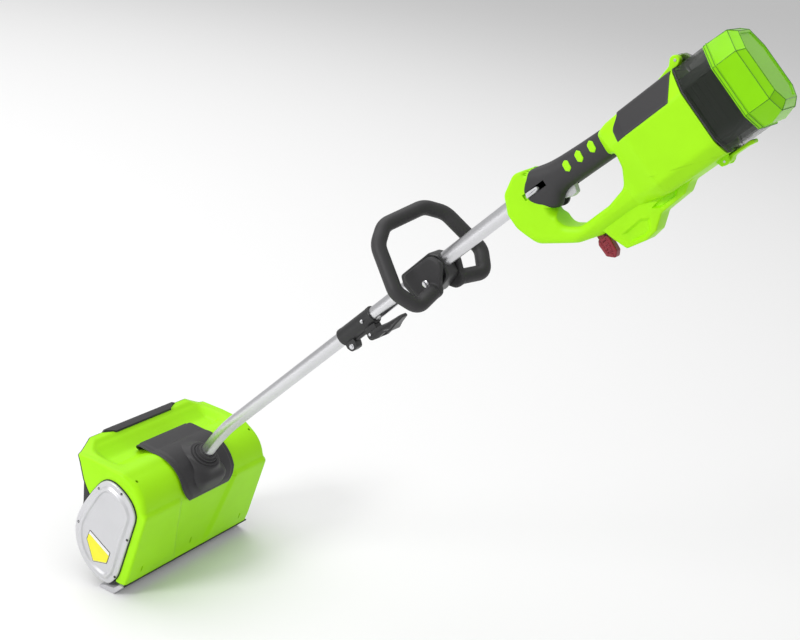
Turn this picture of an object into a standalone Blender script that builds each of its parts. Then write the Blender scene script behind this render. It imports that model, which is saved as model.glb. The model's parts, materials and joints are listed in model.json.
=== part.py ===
"""Cordless snow shovel, modelled as the separate pieces it comes apart into.

World axes: +X is the user's right, +Y points forward, away from the user, +Z is up.
The origin is the middle of the wear bar's flat underside, on the ground.
Outlines of the head are (y, z) pairs.  Everything on the pole is modelled in the pole's
own frame, where local Y is the pole's upper side and local Z runs up to the battery.
All lengths are in millimetres until a mesh is finished.
"""

import math

import bmesh
import bpy
from mathutils import Matrix, Vector

MM = 0.001
GAP = 0.3                 # clearance between neighbouring pieces
SEGMENTS = 24             # sides of an ordinary round piece

# Head
HEAD_HALF = 160.0         # half width over the green end walls
WALL = 3.2                # moulded wall thickness
ROTOR_AXIS = (16.0, 70.0)
ROTOR_RADIUS = 52.0
ROTOR_HALF = 148.0
MOTOR_AXIS = (0.0, 166.0)
MOTOR_RADIUS = 29.0
IDLER_AXIS = (43.0, 121.0)
BARREL_AXIS = (2.0, 147.0)
BARREL_RADIUS = 61.0
ROTOR_PULLEY_RADIUS = 26.0
MOTOR_PULLEY_RADIUS = 8.5
IDLER_RADIUS = 8.0
BELT_THICKNESS = 1.8
BELT_PLANE = (-164.4, -157.9)

# Pole
PIPE_ELEVATION = 49.0     # degrees above the ground
PIPE_ORIGIN = (0.0, 50.0, 117.5)
PIPE_RADIUS = 11.0
PIPE_BORE = 9.5
STUB_EXIT = (-13.0, 128.0)
STUB_LEAN = 13.0          # degrees between the lower stub and the straight pole
STUB_DEPTH = 44.0
BEND_TANGENT = 38.0
LOWER_PIPE_END = 518.0
UPPER_PIPE_START = 519.0
UPPER_PIPE_END = 893.0

# Coupler
COUPLER = (486.0, 557.0)
LEVER_AXIS = (-23.0, 541.0)

# Loop handle
LOOP_CENTRE = 690.0
LOOP_YAW = 21.0           # degrees the loop is turned across the pole
LOOP_RADIUS = 11.3
BAIL_AXIS = (-15.5, 676.0)

# Battery handle
NECK_HALF = 24.0
HOUSING_HALF = 46.0
HOUSING_END = 1138.0
HOOD_END = 1232.0
HOOD_SPLIT = 1186.0
HOOD_AXIS = (18.0, 1148.0)
HINGE_RADIUS = 6.2
GRIP = (905.3, 1011.0)     # ends of the soft sleeve
GRIP_SKIN = 2.2
TRIGGER_AXIS = (-14.0, 905.0)
LATCH_AXIS = (-119.0, 1124.0)
KEY_AXIS = (-105.0, 928.0)

COLOURS = {
    "green_plastic": ((0.36, 0.83, 0.010, 1.0), 0.0, 0.35),
    "dark_plastic": ((0.045, 0.045, 0.048, 1.0), 0.0, 0.55),
    "grip_rubber": ((0.035, 0.035, 0.038, 1.0), 0.0, 0.75),
    "black_plastic": ((0.015, 0.015, 0.016, 1.0), 0.0, 0.45),
    "silver_cover": ((0.58, 0.58, 0.60, 1.0), 0.0, 0.35),
    "light_grey_plastic": ((0.50, 0.50, 0.52, 1.0), 0.0, 0.45),
    "aluminium": ((0.72, 0.72, 0.73, 1.0), 1.0, 0.30),
    "steel": ((0.55, 0.55, 0.57, 1.0), 1.0, 0.25),
    "belt_rubber": ((0.02, 0.02, 0.02, 1.0), 0.0, 0.80),
    "red_plastic": ((0.30, 0.02, 0.03, 1.0), 0.0, 0.40),
    "smoked_clear": ((0.03, 0.04, 0.03, 0.6), 0.0, 0.10),
    "green_clear": ((0.30, 0.75, 0.02, 0.6), 0.0, 0.10),
    "copper": ((0.60, 0.25, 0.10, 1.0), 1.0, 0.35),
    "board_green": ((0.02, 0.12, 0.05, 1.0), 0.0, 0.50),
}


# ---------------------------------------------------------------- scene helpers

def clear_scene():
    for obj in list(bpy.data.objects):
        bpy.data.objects.remove(obj, do_unlink=True)


def material(name):
    found = bpy.data.materials.get(name)
    if found:
        return found
    colour, metallic, roughness = COLOURS[name]
    made = bpy.data.materials.new(name)
    made.use_nodes = True
    shader = made.node_tree.nodes["Principled BSDF"]
    shader.inputs["Base Color"].default_value = colour
    shader.inputs["Alpha"].default_value = colour[3]
    shader.inputs["Metallic"].default_value = metallic
    shader.inputs["Roughness"].default_value = roughness
    return made


def empty(name, location, parent=None, rotation_x=0.0):
    """A named frame; moving pieces hang from one on their joint's axis."""
    frame = bpy.data.objects.new(name, None)
    frame.location = Vector(location) * MM
    frame.rotation_euler = (rotation_x, 0.0, 0.0)
    frame.parent = parent
    bpy.context.scene.collection.objects.link(frame)
    return frame


def finish(name, mesh_data, mat, parent=None, origin=(0.0, 0.0, 0.0)):
    """Turn a bmesh in millimetres into an object whose origin is at `origin`."""
    bmesh.ops.recalc_face_normals(mesh_data, faces=mesh_data.faces)
    bmesh.ops.translate(mesh_data, verts=mesh_data.verts, vec=-Vector(origin))
    bmesh.ops.scale(mesh_data, verts=mesh_data.verts, vec=(MM, MM, MM))
    mesh = bpy.data.meshes.new(name)
    mesh_data.to_mesh(mesh)
    mesh_data.free()
    mesh.materials.append(material(mat))
    mesh.shade_smooth()
    mesh.set_sharp_from_angle(angle=math.radians(32.0))
    obj = bpy.data.objects.new(name, mesh)
    obj.location = Vector(origin) * MM
    obj.parent = parent
    bpy.context.scene.collection.objects.link(obj)
    return obj


def combine(target, tools, operation="DIFFERENCE"):
    """Cut `tools` from the target, or join them to it, with exact Booleans."""
    for tool in tools:
        tool.hide_render = True
        tool.display_type = "WIRE"
        step = target.modifiers.new(tool.name, "BOOLEAN")
        step.operation = operation
        step.object = tool
    return target


# ---------------------------------------------------------------- outlines

def arc(centre, radius, start, end, steps):
    """Points on an arc, angles in degrees."""
    points = []
    for i in range(steps + 1):
        angle = math.radians(start + (end - start) * i / steps)
        points.append((centre[0] + radius * math.cos(angle), centre[1] + radius * math.sin(angle)))
    return points


def rounded(corners, steps=3):
    """A closed outline from (a, b, radius) corners."""
    outline = []
    count = len(corners)
    for i, (a, b, radius) in enumerate(corners):
        here = Vector((a, b))
        if radius <= 0.0:
            outline.append((a, b))
            continue
        before = (Vector(corners[i - 1][:2]) - here).normalized()
        after = (Vector(corners[(i + 1) % count][:2]) - here).normalized()
        half = before.angle(after) / 2.0
        reach = radius / math.tan(half)
        centre = here + (before + after).normalized() * radius / math.sin(half)
        first = here + before * reach - centre
        turn = first.angle_signed(here + after * reach - centre)
        for j in range(steps + 1):
            point = first.copy()
            point.rotate(Matrix.Rotation(-turn * j / steps, 2))
            outline.append(tuple(centre + point))
    return outline


def offset(points, distance, closed=True):
    """Move an outline sideways; positive is to the left of its direction of travel."""
    count = len(points)
    moved = []
    for i in range(count):
        here = Vector(points[i])
        if closed or 0 < i < count - 1:
            before = (here - Vector(points[i - 1])).normalized()
            after = (Vector(points[(i + 1) % count]) - here).normalized()
        elif i == 0:
            before = after = (Vector(points[1]) - here).normalized()
        else:
            before = after = (here - Vector(points[i - 1])).normalized()
        normal = Vector((-before.y - after.y, before.x + after.x)).normalized()
        stretch = max(0.35, normal.dot(Vector((-before.y, before.x))))
        moved.append(tuple(here + normal * distance / stretch))
    return moved


def band(points, distance):
    """A closed outline of the strip between a line and its offset."""
    return list(points) + list(reversed(offset(points, distance, closed=False)))


def scaled(points, centre, factor):
    return [tuple(Vector(centre) + (Vector(p) - Vector(centre)) * factor) for p in points]


# ---------------------------------------------------------------- solids

def place(axis, a, b, height):
    if axis == "X":
        return (height, a, b)
    if axis == "Y":
        return (a, height, b)
    return (a, b, height)


def prism_mesh(outline, low, high, axis="X", bevel=0.0, bevel_steps=1):
    made = bmesh.new()
    ends = []
    for height in (low, high):
        ends.append([made.verts.new(place(axis, a, b, height)) for a, b in outline])
    count = len(outline)
    caps = [made.faces.new(ends[0]), made.faces.new(ends[1])]
    for i in range(count):
        j = (i + 1) % count
        made.faces.new((ends[0][i], ends[0][j], ends[1][j], ends[1][i]))
    if bevel > 0.0:
        rim = {edge for cap in caps for edge in cap.edges}
        bmesh.ops.bevel(made, geom=list(rim), offset=bevel, segments=bevel_steps,
                        affect="EDGES", profile=0.5, clamp_overlap=True)
    return made


def prism(name, outline, low, high, mat, axis="X", bevel=0.0, parent=None,
          origin=(0.0, 0.0, 0.0), bevel_steps=1):
    made = prism_mesh(outline, low, high, axis, bevel, bevel_steps)
    return finish(name, made, mat, parent, origin)


def box(name, low, high, mat, bevel=0.0, parent=None, origin=(0.0, 0.0, 0.0)):
    made = bmesh.new()
    bmesh.ops.create_cube(made, size=1.0)
    size = Vector(high) - Vector(low)
    bmesh.ops.scale(made, verts=made.verts, vec=size)
    bmesh.ops.translate(made, verts=made.verts, vec=(Vector(high) + Vector(low)) / 2.0)
    if bevel > 0.0:
        bmesh.ops.bevel(made, geom=list(made.edges), offset=bevel, segments=1,
                        affect="EDGES", profile=0.5, clamp_overlap=True)
    return finish(name, made, mat, parent, origin)


def turned(name, profile, mat, axis="X", centre=(0.0, 0.0), parent=None,
           origin=(0.0, 0.0, 0.0), segments=SEGMENTS, tilt=None):
    """A lathe solid from a closed (radius, height) profile about an axis line."""
    made = bmesh.new()
    rings = []
    for radius, height in profile:
        if radius < 1e-6:
            rings.append([made.verts.new(place(axis, centre[0], centre[1], height))])
            continue
        ring = []
        for i in range(segments):
            angle = 2.0 * math.pi * i / segments
            a = centre[0] + radius * math.cos(angle)
            b = centre[1] + radius * math.sin(angle)
            ring.append(made.verts.new(place(axis, a, b, height)))
        rings.append(ring)
    for i, ring in enumerate(rings):
        other = rings[(i + 1) % len(rings)]
        if len(ring) == 1 and len(other) == 1:
            continue
        for k in range(segments):
            n = (k + 1) % segments
            if len(ring) == 1:
                made.faces.new((ring[0], other[n], other[k]))
            elif len(other) == 1:
                made.faces.new((ring[k], ring[n], other[0]))
            else:
                made.faces.new((ring[k], ring[n], other[n], other[k]))
    if tilt is not None:
        bmesh.ops.transform(made, verts=made.verts, matrix=tilt)
    return finish(name, made, mat, parent, origin)


def sleeve(outer, bore, low, high, chamfer=0.0):
    """The profile of a plain ring or tube."""
    return [(bore, low), (outer - chamfer, low), (outer, low + chamfer),
            (outer, high - chamfer), (outer - chamfer, high), (bore, high)]


def rod(radius, low, high, chamfer=0.0):
    """The profile of a solid bar."""
    return [(0.0, low), (radius - chamfer, low), (radius, low + chamfer),
            (radius, high - chamfer), (radius - chamfer, high), (0.0, high)]


def sweep_mesh(path, radius, bore=0.0, sides=16, flat=(0.0, 1.0, 0.0)):
    """A round bar or tube along a path of 3-D points, with flat ends."""
    made = bmesh.new()
    points = [Vector(p) for p in path]
    rings = []
    side = Vector(flat)
    for i, here in enumerate(points):
        before = points[max(0, i - 1)]
        after = points[min(len(points) - 1, i + 1)]
        along = (after - before).normalized()
        side = (side - along * side.dot(along)).normalized()
        across = along.cross(side)
        station = []
        for size in ((radius, bore) if bore > 0.0 else (radius,)):
            ring = []
            for k in range(sides):
                angle = 2.0 * math.pi * k / sides
                step = side * math.cos(angle) + across * math.sin(angle)
                ring.append(made.verts.new(here + step * size))
            station.append(ring)
        rings.append(station)
    for first, second in zip(rings, rings[1:]):
        for ring_a, ring_b in zip(first, second):
            for k in range(sides):
                n = (k + 1) % sides
                made.faces.new((ring_a[k], ring_a[n], ring_b[n], ring_b[k]))
    for station in (rings[0], rings[-1]):
        if len(station) == 1:
            made.faces.new(station[0])
            continue
        for k in range(sides):
            n = (k + 1) % sides
            made.faces.new((station[0][k], station[0][n], station[1][n], station[1][k]))
    return made


def loft(name, sections, mat, parent=None, origin=(0.0, 0.0, 0.0)):
    """A closed solid through stations of equally many (x, y, z) points."""
    made = bmesh.new()
    rings = [[made.verts.new(p) for p in section] for section in sections]
    for first, second in zip(rings, rings[1:]):
        count = len(first)
        for k in range(count):
            n = (k + 1) % count
            made.faces.new((first[k], first[n], second[n], second[k]))
    made.faces.new(rings[0])
    made.faces.new(rings[-1])
    return finish(name, made, mat, parent, origin)


# ---------------------------------------------------------------- head outlines

def rear_and_roof():
    """The green shell's outer line, from its lower rear edge over the barrel to the lip."""
    barrel = arc(BARREL_AXIS, BARREL_RADIUS, 180.0, 92.0, 9)
    return [(-33.0, 20.0)] + barrel + [(45.0, 209.5), (99.0, 221.0)]


def end_outline():
    """The rounded outline shared by the end covers, clockwise from the lowest point."""
    nose = arc((-2.0, 89.0), 77.0, -92.0, 15.0, 9)
    crown = [(62.0, 134.0), (46.0, 161.0), (33.0, 180.0), (21.0, 190.0), (4.0, 190.0),
             (-18.0, 180.0), (-34.0, 167.0), (-44.0, 148.0)]
    return nose + crown + [(-19.0, 32.0)]


def side_plate_outline():
    roof = arc(BARREL_AXIS, BARREL_RADIUS - WALL - 0.7, 180.0, 92.0, 8)
    front = [(45.0, 205.6), (80.0, 212.9), (82.0, 205.0), (73.0, 170.0), (70.0, 129.0)]
    nose = arc((-2.0, 89.0), 77.0, 15.0, -88.0, 9)
    return [(-29.0, 22.0)] + roof + front + nose


# ---------------------------------------------------------------- head pieces

def build_head_shell():
    outer = rear_and_roof() + [(98.0, 215.5), (84.0, 206.0), (70.0, 171.0), (54.0, 148.0),
                               (38.0, 112.0), (0.0, 40.0), (-16.0, 20.0)]
    shell = prism("head_shell", outer, -HEAD_HALF, HEAD_HALF, "green_plastic", bevel=1.5)
    inner = offset(rear_and_roof(), -WALL, closed=False)
    cavity = [(-27.6, 8.0)] + inner + [(130.0, inner[-1][1] + 6.6), (130.0, 8.0)]
    reach = HEAD_HALF - 3.6
    tools = [prism("cut_shell_cavity", cavity, -reach, reach, "green_plastic")]
    opening = offset(end_outline(), 7.0)
    for side, name in ((-1.0, "left"), (1.0, "right")):
        ends = sorted((side * (HEAD_HALF - 8.0), side * (HEAD_HALF + 8.0)))
        tools.append(prism("cut_end_opening_" + name, opening, ends[0], ends[1], "green_plastic"))
        corner = [(side * 120.0, 99.6), (side * 175.0, 120.0), (side * 175.0, 75.5)]
        tools.append(prism("cut_lip_corner_" + name, corner, 120.0, 240.0, "green_plastic",
                           axis="Z"))
    tools.append(turned("cut_socket_hole", rod(25.0, -40.0, 40.0), "green_plastic", axis="Z",
                        tilt=stub_frame()))
    return combine(shell, tools)


def build_end_plates():
    plates = []
    for side, name in ((-1.0, "left"), (1.0, "right")):
        ends = sorted((side * 152.5, side * 155.9))
        plate = prism(name + "_side_plate", side_plate_outline(), ends[0], ends[1],
                      "dark_plastic")
        reach = sorted((side * 140.0, side * 170.0))
        tools = [turned("cut_bearing_seat_" + name, rod(14.0 + GAP, reach[0], reach[1]),
                        "dark_plastic", centre=ROTOR_AXIS)]
        if side < 0.0:
            tools.append(turned("cut_motor_nose_hole", rod(12.0, reach[0], reach[1]),
                                "dark_plastic", centre=MOTOR_AXIS))
        plates.append(combine(plate, tools))
        bearing_ends = sorted((side * 150.6, side * 157.3))
        turned(name + "_rotor_bearing", sleeve(14.0, 6.3, bearing_ends[0], bearing_ends[1], 0.6),
               "steel", centre=ROTOR_AXIS)
    return plates


def build_end_covers():
    outline = end_outline()
    rim, face, raised = -161.4, -167.4, -169.4
    cover = prism("belt_cover", outline, face, rim, "silver_cover", bevel=1.6)
    panel = prism("join_cover_panel", offset(outline, 9.0), raised, face + 1.2, "silver_cover",
                  bevel=0.9)
    hollow = prism("cut_cover_hollow", offset(outline, 4.0), face + 1.8, rim + 5.0,
                   "silver_cover")
    combine(cover, [panel], "UNION")
    tools = [hollow]
    for number, (y, z) in enumerate(cover_screw_places(), 1):
        tools.append(turned("cut_cover_screw_%d" % number, rod(3.1, raised - 3.0, face + 1.0),
                            "silver_cover", centre=(y, z), segments=14))
    combine(cover, tools)
    seal = prism("cover_seal", offset(outline, -1.3), rim + GAP, -HEAD_HALF - GAP, "belt_rubber")
    combine(seal, [prism("cut_seal_middle", offset(outline, 5.5), rim - 2.0, -HEAD_HALF + 2.0,
                         "belt_rubber")])
    right = prism("right_end_cover", offset(outline, 1.0), HEAD_HALF + GAP, HEAD_HALF + 5.6,
                  "dark_plastic", bevel=1.6)
    return cover, seal, right


def cover_screw_places():
    return [(33.5, 172.0), (-15.0, 176.5), (67.0, 98.0), (-32.0, 105.0), (-12.5, 30.0)]


def build_scraper():
    """The wear bar the head stands on; its flat underside is at ground level."""
    section = [(-32.6, 19.0), (-15.0, 0.0), (15.0, 0.0), (15.0, 4.0), (3.0, 8.0), (-14.0, 10.0),
               (-24.0, 19.0)]
    return prism("scraper_bar", section, -HEAD_HALF - 4.0, HEAD_HALF + 4.0,
                 "light_grey_plastic", bevel=0.8)


def build_lip_trim():
    section = [(86.0, 218.8), (100.0, 221.8), (98.2, 214.0), (100.0, 213.6), (102.4, 224.0),
               (86.0, 220.9)]
    return prism("lip_trim", section, -92.0, 92.0, "black_plastic", bevel=0.4)


def build_inner_shroud():
    over = arc(ROTOR_AXIS, ROTOR_RADIUS + 8.2, 165.0, 60.0, 10)
    throat = [(57.0, 143.5), (72.0, 169.0), (84.5, 207.0)]
    line = band(over + throat, -2.4)
    return prism("inner_shroud", line, -151.9, 151.9, "dark_plastic")


def build_motor_cover():
    """The dark saddle over the barrel, with the mound that the pole leaves through."""
    inner = BARREL_RADIUS + 0.5
    crest = arc(BARREL_AXIS, inner, 180.0, 92.0, 10) + [(47.0, 210.4)]
    saddle = prism("motor_cover", band(crest, 3.2), -68.0, 68.0, "dark_plastic", bevel=1.4)
    mound = turned("join_cover_mound",
                   [(0.0, -40.0), (40.0, -40.0), (36.0, -14.0), (30.0, -3.0), (25.0, 0.0),
                    (0.0, 0.0)], "dark_plastic", axis="Z", tilt=stub_frame(), segments=32)
    combine(saddle, [mound], "UNION")
    tools = []
    for side, name in ((-1.0, "left"), (1.0, "right")):
        corner = [(side * 51.0, 140.0), (side * 68.5, 164.0), (side * 80.0, 164.0),
                  (side * 80.0, 140.0)]
        tools.append(prism("cut_saddle_corner_" + name, corner, -90.0, -30.0, "dark_plastic",
                           axis="Y"))
    under = arc(BARREL_AXIS, inner, 200.0, 60.0, 18) + [BARREL_AXIS]
    tools.append(prism("cut_saddle_underside", under, -90.0, 90.0, "dark_plastic"))
    tools.append(turned("cut_saddle_bore", rod(17.2, -60.0, 30.0), "dark_plastic", axis="Z",
                        tilt=stub_frame()))
    return combine(saddle, tools)


# ---------------------------------------------------------------- drive

def tangent_belt(circles):
    """The taut loop around circles given as (a, b, radius), listed counter-clockwise."""
    loop = []
    count = len(circles)
    angles = []
    for i in range(count):
        a = circles[i]
        b = circles[(i + 1) % count]
        apart = Vector((b[0] - a[0], b[1] - a[1]))
        heading = math.atan2(apart.y, apart.x)
        lean = math.asin((a[2] - b[2]) / apart.length)
        angles.append(heading - math.pi / 2.0 + lean)
    for i in range(count):
        start = math.degrees(angles[i - 1])
        end = math.degrees(angles[i])
        while end < start:
            end += 360.0
        steps = max(2, round((end - start) / 18.0))
        loop += arc(circles[i][:2], circles[i][2], start, end, steps)
    return loop


def build_belt_drive():
    low, high = BELT_PLANE
    circles = [(*ROTOR_AXIS, ROTOR_PULLEY_RADIUS), (*IDLER_AXIS, IDLER_RADIUS),
               (*MOTOR_AXIS, MOTOR_PULLEY_RADIUS)]
    inner = [(a, b, radius + GAP) for a, b, radius in circles]
    outer = [(a, b, radius + GAP + BELT_THICKNESS) for a, b, radius in circles]
    belt = prism("drive_belt", tangent_belt(outer), low + 0.8, high - 0.8, "belt_rubber")
    combine(belt, [prism("cut_belt_inside", tangent_belt(inner), low - 2.0, high + 2.0,
                         "belt_rubber")])
    rotor_frame = empty("rotor_axis", (0.0, *ROTOR_AXIS))
    motor_frame = empty("motor_axis", (0.0, *MOTOR_AXIS))
    idler_frame = empty("idler_axis", (0.0, *IDLER_AXIS))
    turned("rotor_pulley", sleeve(ROTOR_PULLEY_RADIUS, 6.3, low, high), "aluminium",
           parent=rotor_frame, segments=36)
    turned("motor_pulley", sleeve(MOTOR_PULLEY_RADIUS, 4.3, low, high), "steel",
           parent=motor_frame)
    turned("idler_pulley", sleeve(IDLER_RADIUS, 3.4, low, high), "black_plastic",
           parent=idler_frame)
    turned("idler_post", rod(3.1, low + 0.2, -156.2, 0.4), "steel", centre=IDLER_AXIS,
           segments=16)
    return rotor_frame, motor_frame


def build_motor(motor_frame):
    turned("motor_can", rod(MOTOR_RADIUS, -138.0, -40.0, 3.0), "steel", centre=MOTOR_AXIS)
    nose = [(4.6, -151.5), (10.0, -151.5), (10.0, -148.0), (24.0, -145.0), (24.0, -138.3),
            (4.6, -138.3)]
    turned("motor_end_bell", nose, "aluminium", centre=MOTOR_AXIS)
    turned("motor_brush_cap", rod(25.0, -39.7, -30.0, 2.0), "black_plastic", centre=MOTOR_AXIS)
    turned("motor_shaft", rod(4.0, -164.9, -138.6, 0.4), "steel", parent=motor_frame,
           segments=16)


def build_rotor(rotor_frame):
    turned("rotor_shaft", rod(6.0, -165.0, 158.0, 0.6), "steel", parent=rotor_frame)
    turned("rotor_hub", sleeve(13.0, 6.3, -ROTOR_HALF, ROTOR_HALF, 1.0), "black_plastic",
           parent=rotor_frame)
    stations = 9
    blades = 4
    for blade in range(blades):
        sections = []
        for i in range(stations):
            across = -1.0 + 2.0 * i / (stations - 1)
            lag = 26.0 * (1.0 - abs(across))
            sections.append(paddle_section(across * ROTOR_HALF, 90.0 * blade + lag))
        loft("rotor_paddle_%d" % (blade + 1), sections, "grip_rubber", parent=rotor_frame)


def paddle_section(x, start):
    """One curved slice of a paddle, hooked forward at its tip."""
    steps = 4
    thickness = 3.6
    front, back = [], []
    for i in range(steps + 1):
        share = i / steps
        radius = 13.0 + GAP + (ROTOR_RADIUS - 13.0 - GAP) * share
        angle = math.radians(start + 16.0 * share * share)
        half = thickness / 2.0 / radius
        front.append((x, radius * math.cos(angle + half), radius * math.sin(angle + half)))
        back.append((x, radius * math.cos(angle - half), radius * math.sin(angle - half)))
    return front + list(reversed(back))


# ---------------------------------------------------------------- pole

def stub_frame():
    """The frame of the pole's lower stub: origin where it leaves the cover, Z outward."""
    angle = math.radians(90.0 - PIPE_ELEVATION)
    pole = Matrix.Translation(PIPE_ORIGIN) @ Matrix.Rotation(angle, 4, "X")
    lean = Matrix.Rotation(-math.radians(STUB_LEAN), 4, "X")
    return pole @ Matrix.Translation((0.0, *STUB_EXIT)) @ lean


def build_lower_pipe(pole):
    lean = math.radians(STUB_LEAN)
    direction = Vector((math.sin(lean), math.cos(lean)))
    exit_point = Vector(STUB_EXIT)
    corner = exit_point - direction * (exit_point.x / direction.x)
    start = exit_point - direction * STUB_DEPTH
    bend_radius = BEND_TANGENT / math.tan(lean / 2.0)
    bend_centre = Vector((-bend_radius, corner.y + BEND_TANGENT))
    path = [(0.0, *start)]
    for n, p in arc(bend_centre, bend_radius, -STUB_LEAN, 0.0, 6):
        path.append((0.0, n, p))
    path.append((0.0, 0.0, LOWER_PIPE_END))
    made = sweep_mesh(path, PIPE_RADIUS, PIPE_BORE, 24)
    finish("lower_pipe", made, "aluminium", pole)
    cable = sweep_mesh([(0.0, *(start + direction * 6.0))] + path[1:-1]
                       + [(0.0, 0.0, LOWER_PIPE_END - 14.0)], 3.0, sides=10)
    finish("lower_cable", cable, "belt_rubber", pole)
    turned("pipe_socket", sleeve(17.0, PIPE_RADIUS + GAP, -STUB_DEPTH + 2.0, -16.0, 0.8),
           "aluminium", axis="Z", tilt=stub_frame())
    boot = [(PIPE_RADIUS + GAP, -15.0), (16.8, -15.0), (16.8, 0.6), (20.0, 0.6), (19.0, 4.0),
            (15.6, 5.0), (14.6, 9.0), (PIPE_RADIUS + GAP, 9.0)]
    turned("pipe_boot", boot, "grip_rubber", axis="Z", tilt=stub_frame())


def build_coupler(pole, upper):
    low, high = COUPLER
    body = turned("coupler_body", sleeve(14.3, PIPE_RADIUS + GAP, low, high, 1.0),
                  "black_plastic", axis="Z", parent=upper)
    lugs = []
    for name, start, end, depth in (("low", low + 3.0, low + 19.0, -26.0),
                                    ("high", high - 26.0, high - 5.0, -29.5)):
        lug = rounded([(-11.9, start, 0.0), (-11.9, end, 0.0), (depth, end - 1.0, 6.0),
                       (depth, start + 1.0, 6.0)])
        lugs.append(prism("join_lug_" + name, lug, -8.0, 8.0, "black_plastic", parent=upper,
                          bevel=0.8))
    combine(body, lugs, "UNION")
    tools = [box("cut_coupler_split", (-1.2, -40.0, low - 2.0), (1.2, -5.0, high + 2.0),
                 "black_plastic", parent=upper)]
    tools.append(turned("cut_low_bolt_hole", rod(2.6, -20.0, 20.0), "black_plastic",
                        centre=(-20.0, low + 11.0), parent=upper, segments=14))
    tools.append(turned("cut_lever_pin_hole", rod(2.6, -20.0, 20.0), "black_plastic",
                        centre=LEVER_AXIS, parent=upper, segments=14))
    tools.append(box("cut_coupler_button_window", (-20.0, -4.6, 535.4), (-5.0, 4.6, 544.6),
                     "black_plastic", parent=upper))
    combine(body, tools)
    head = [(0.0, -11.4), (3.6, -11.4), (4.4, -10.6), (4.4, -8.3), (2.3, -8.3), (2.3, 8.3),
            (4.2, 8.3), (4.2, 11.4), (0.0, 11.4)]
    turned("coupler_bolt", head, "steel", centre=(-20.0, low + 11.0), parent=upper, segments=14)
    lever_frame = empty("lever_axis", (0.0, *LEVER_AXIS), upper)
    lever = rounded([(5.5, 3.0, 3.0), (2.0, 24.0, 4.0), (0.5, 57.0, 2.0), (-4.5, 60.0, 2.0),
                     (-9.5, 34.0, 8.0), (-8.0, -8.0, 6.0), (4.0, -8.0, 4.0)])
    shifted = [(a - 3.0, b) for a, b in lever]
    arm = prism("coupler_lever", shifted, -17.0, 17.0, "black_plastic", parent=lever_frame,
                bevel=0.8)
    slot = [box("cut_lever_slot", (-8.4, -32.0, -22.0), (8.4, 14.0, 19.0), "black_plastic",
                parent=lever_frame)]
    slot.append(turned("cut_lever_pin_bore", rod(2.6, -30.0, 30.0), "black_plastic",
                       parent=lever_frame, segments=14))
    for side, name in ((-1.0, "left"), (1.0, "right")):
        waist = [(side * 17.5, 10.0), (side * 17.5, 80.0), (side * 7.0, 80.0),
                 (side * 8.0, 40.0)]
        slot.append(prism("cut_lever_waist_" + name, waist, -30.0, 10.0, "black_plastic",
                          axis="Y", parent=lever_frame))
    combine(arm, slot)
    turned("lever_pin", rod(2.3, -17.4, 17.4, 0.3), "steel", parent=lever_frame, segments=14)
    button_frame = empty("coupler_button_axis", (-PIPE_RADIUS, 0.0, 540.0), upper)
    button = [(0.0, -6.4), (1.6, -6.0), (3.4, -4.4), (3.4, 2.0 - GAP), (0.0, 2.0 - GAP)]
    turned("coupler_button", button, "steel", parent=button_frame, segments=18)
    return lever_frame


def build_upper_pipe(upper):
    path = [(0.0, 0.0, UPPER_PIPE_START), (0.0, 0.0, UPPER_PIPE_END)]
    pipe = finish("upper_pipe", sweep_mesh(path, PIPE_RADIUS, PIPE_BORE, 24), "aluminium", upper)
    combine(pipe, [turned("cut_button_hole", rod(3.9, -30.0, -2.0), "aluminium",
                          centre=(0.0, 540.0), parent=upper, segments=18)])
    wire = [(0.0, 0.0, LOWER_PIPE_END - 12.0), (0.0, 0.0, UPPER_PIPE_END + 6.0)]
    finish("upper_cable", sweep_mesh(wire, 3.0, sides=10), "belt_rubber", upper)
    return pipe


# ---------------------------------------------------------------- loop handle

def loop_path():
    """The centre line of the loop, as (across, up) points in the loop's own plane."""
    corners = [(-36.0, -33.0, 0.0), (-70.0, -37.0, 13.0), (-84.0, -6.0, 18.0),
               (-67.0, 62.0, 24.0), (-44.0, 84.0, 24.0)]
    full = corners + [(-a, b, r) for a, b, r in reversed(corners)]
    return rounded(full, 4)


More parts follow.
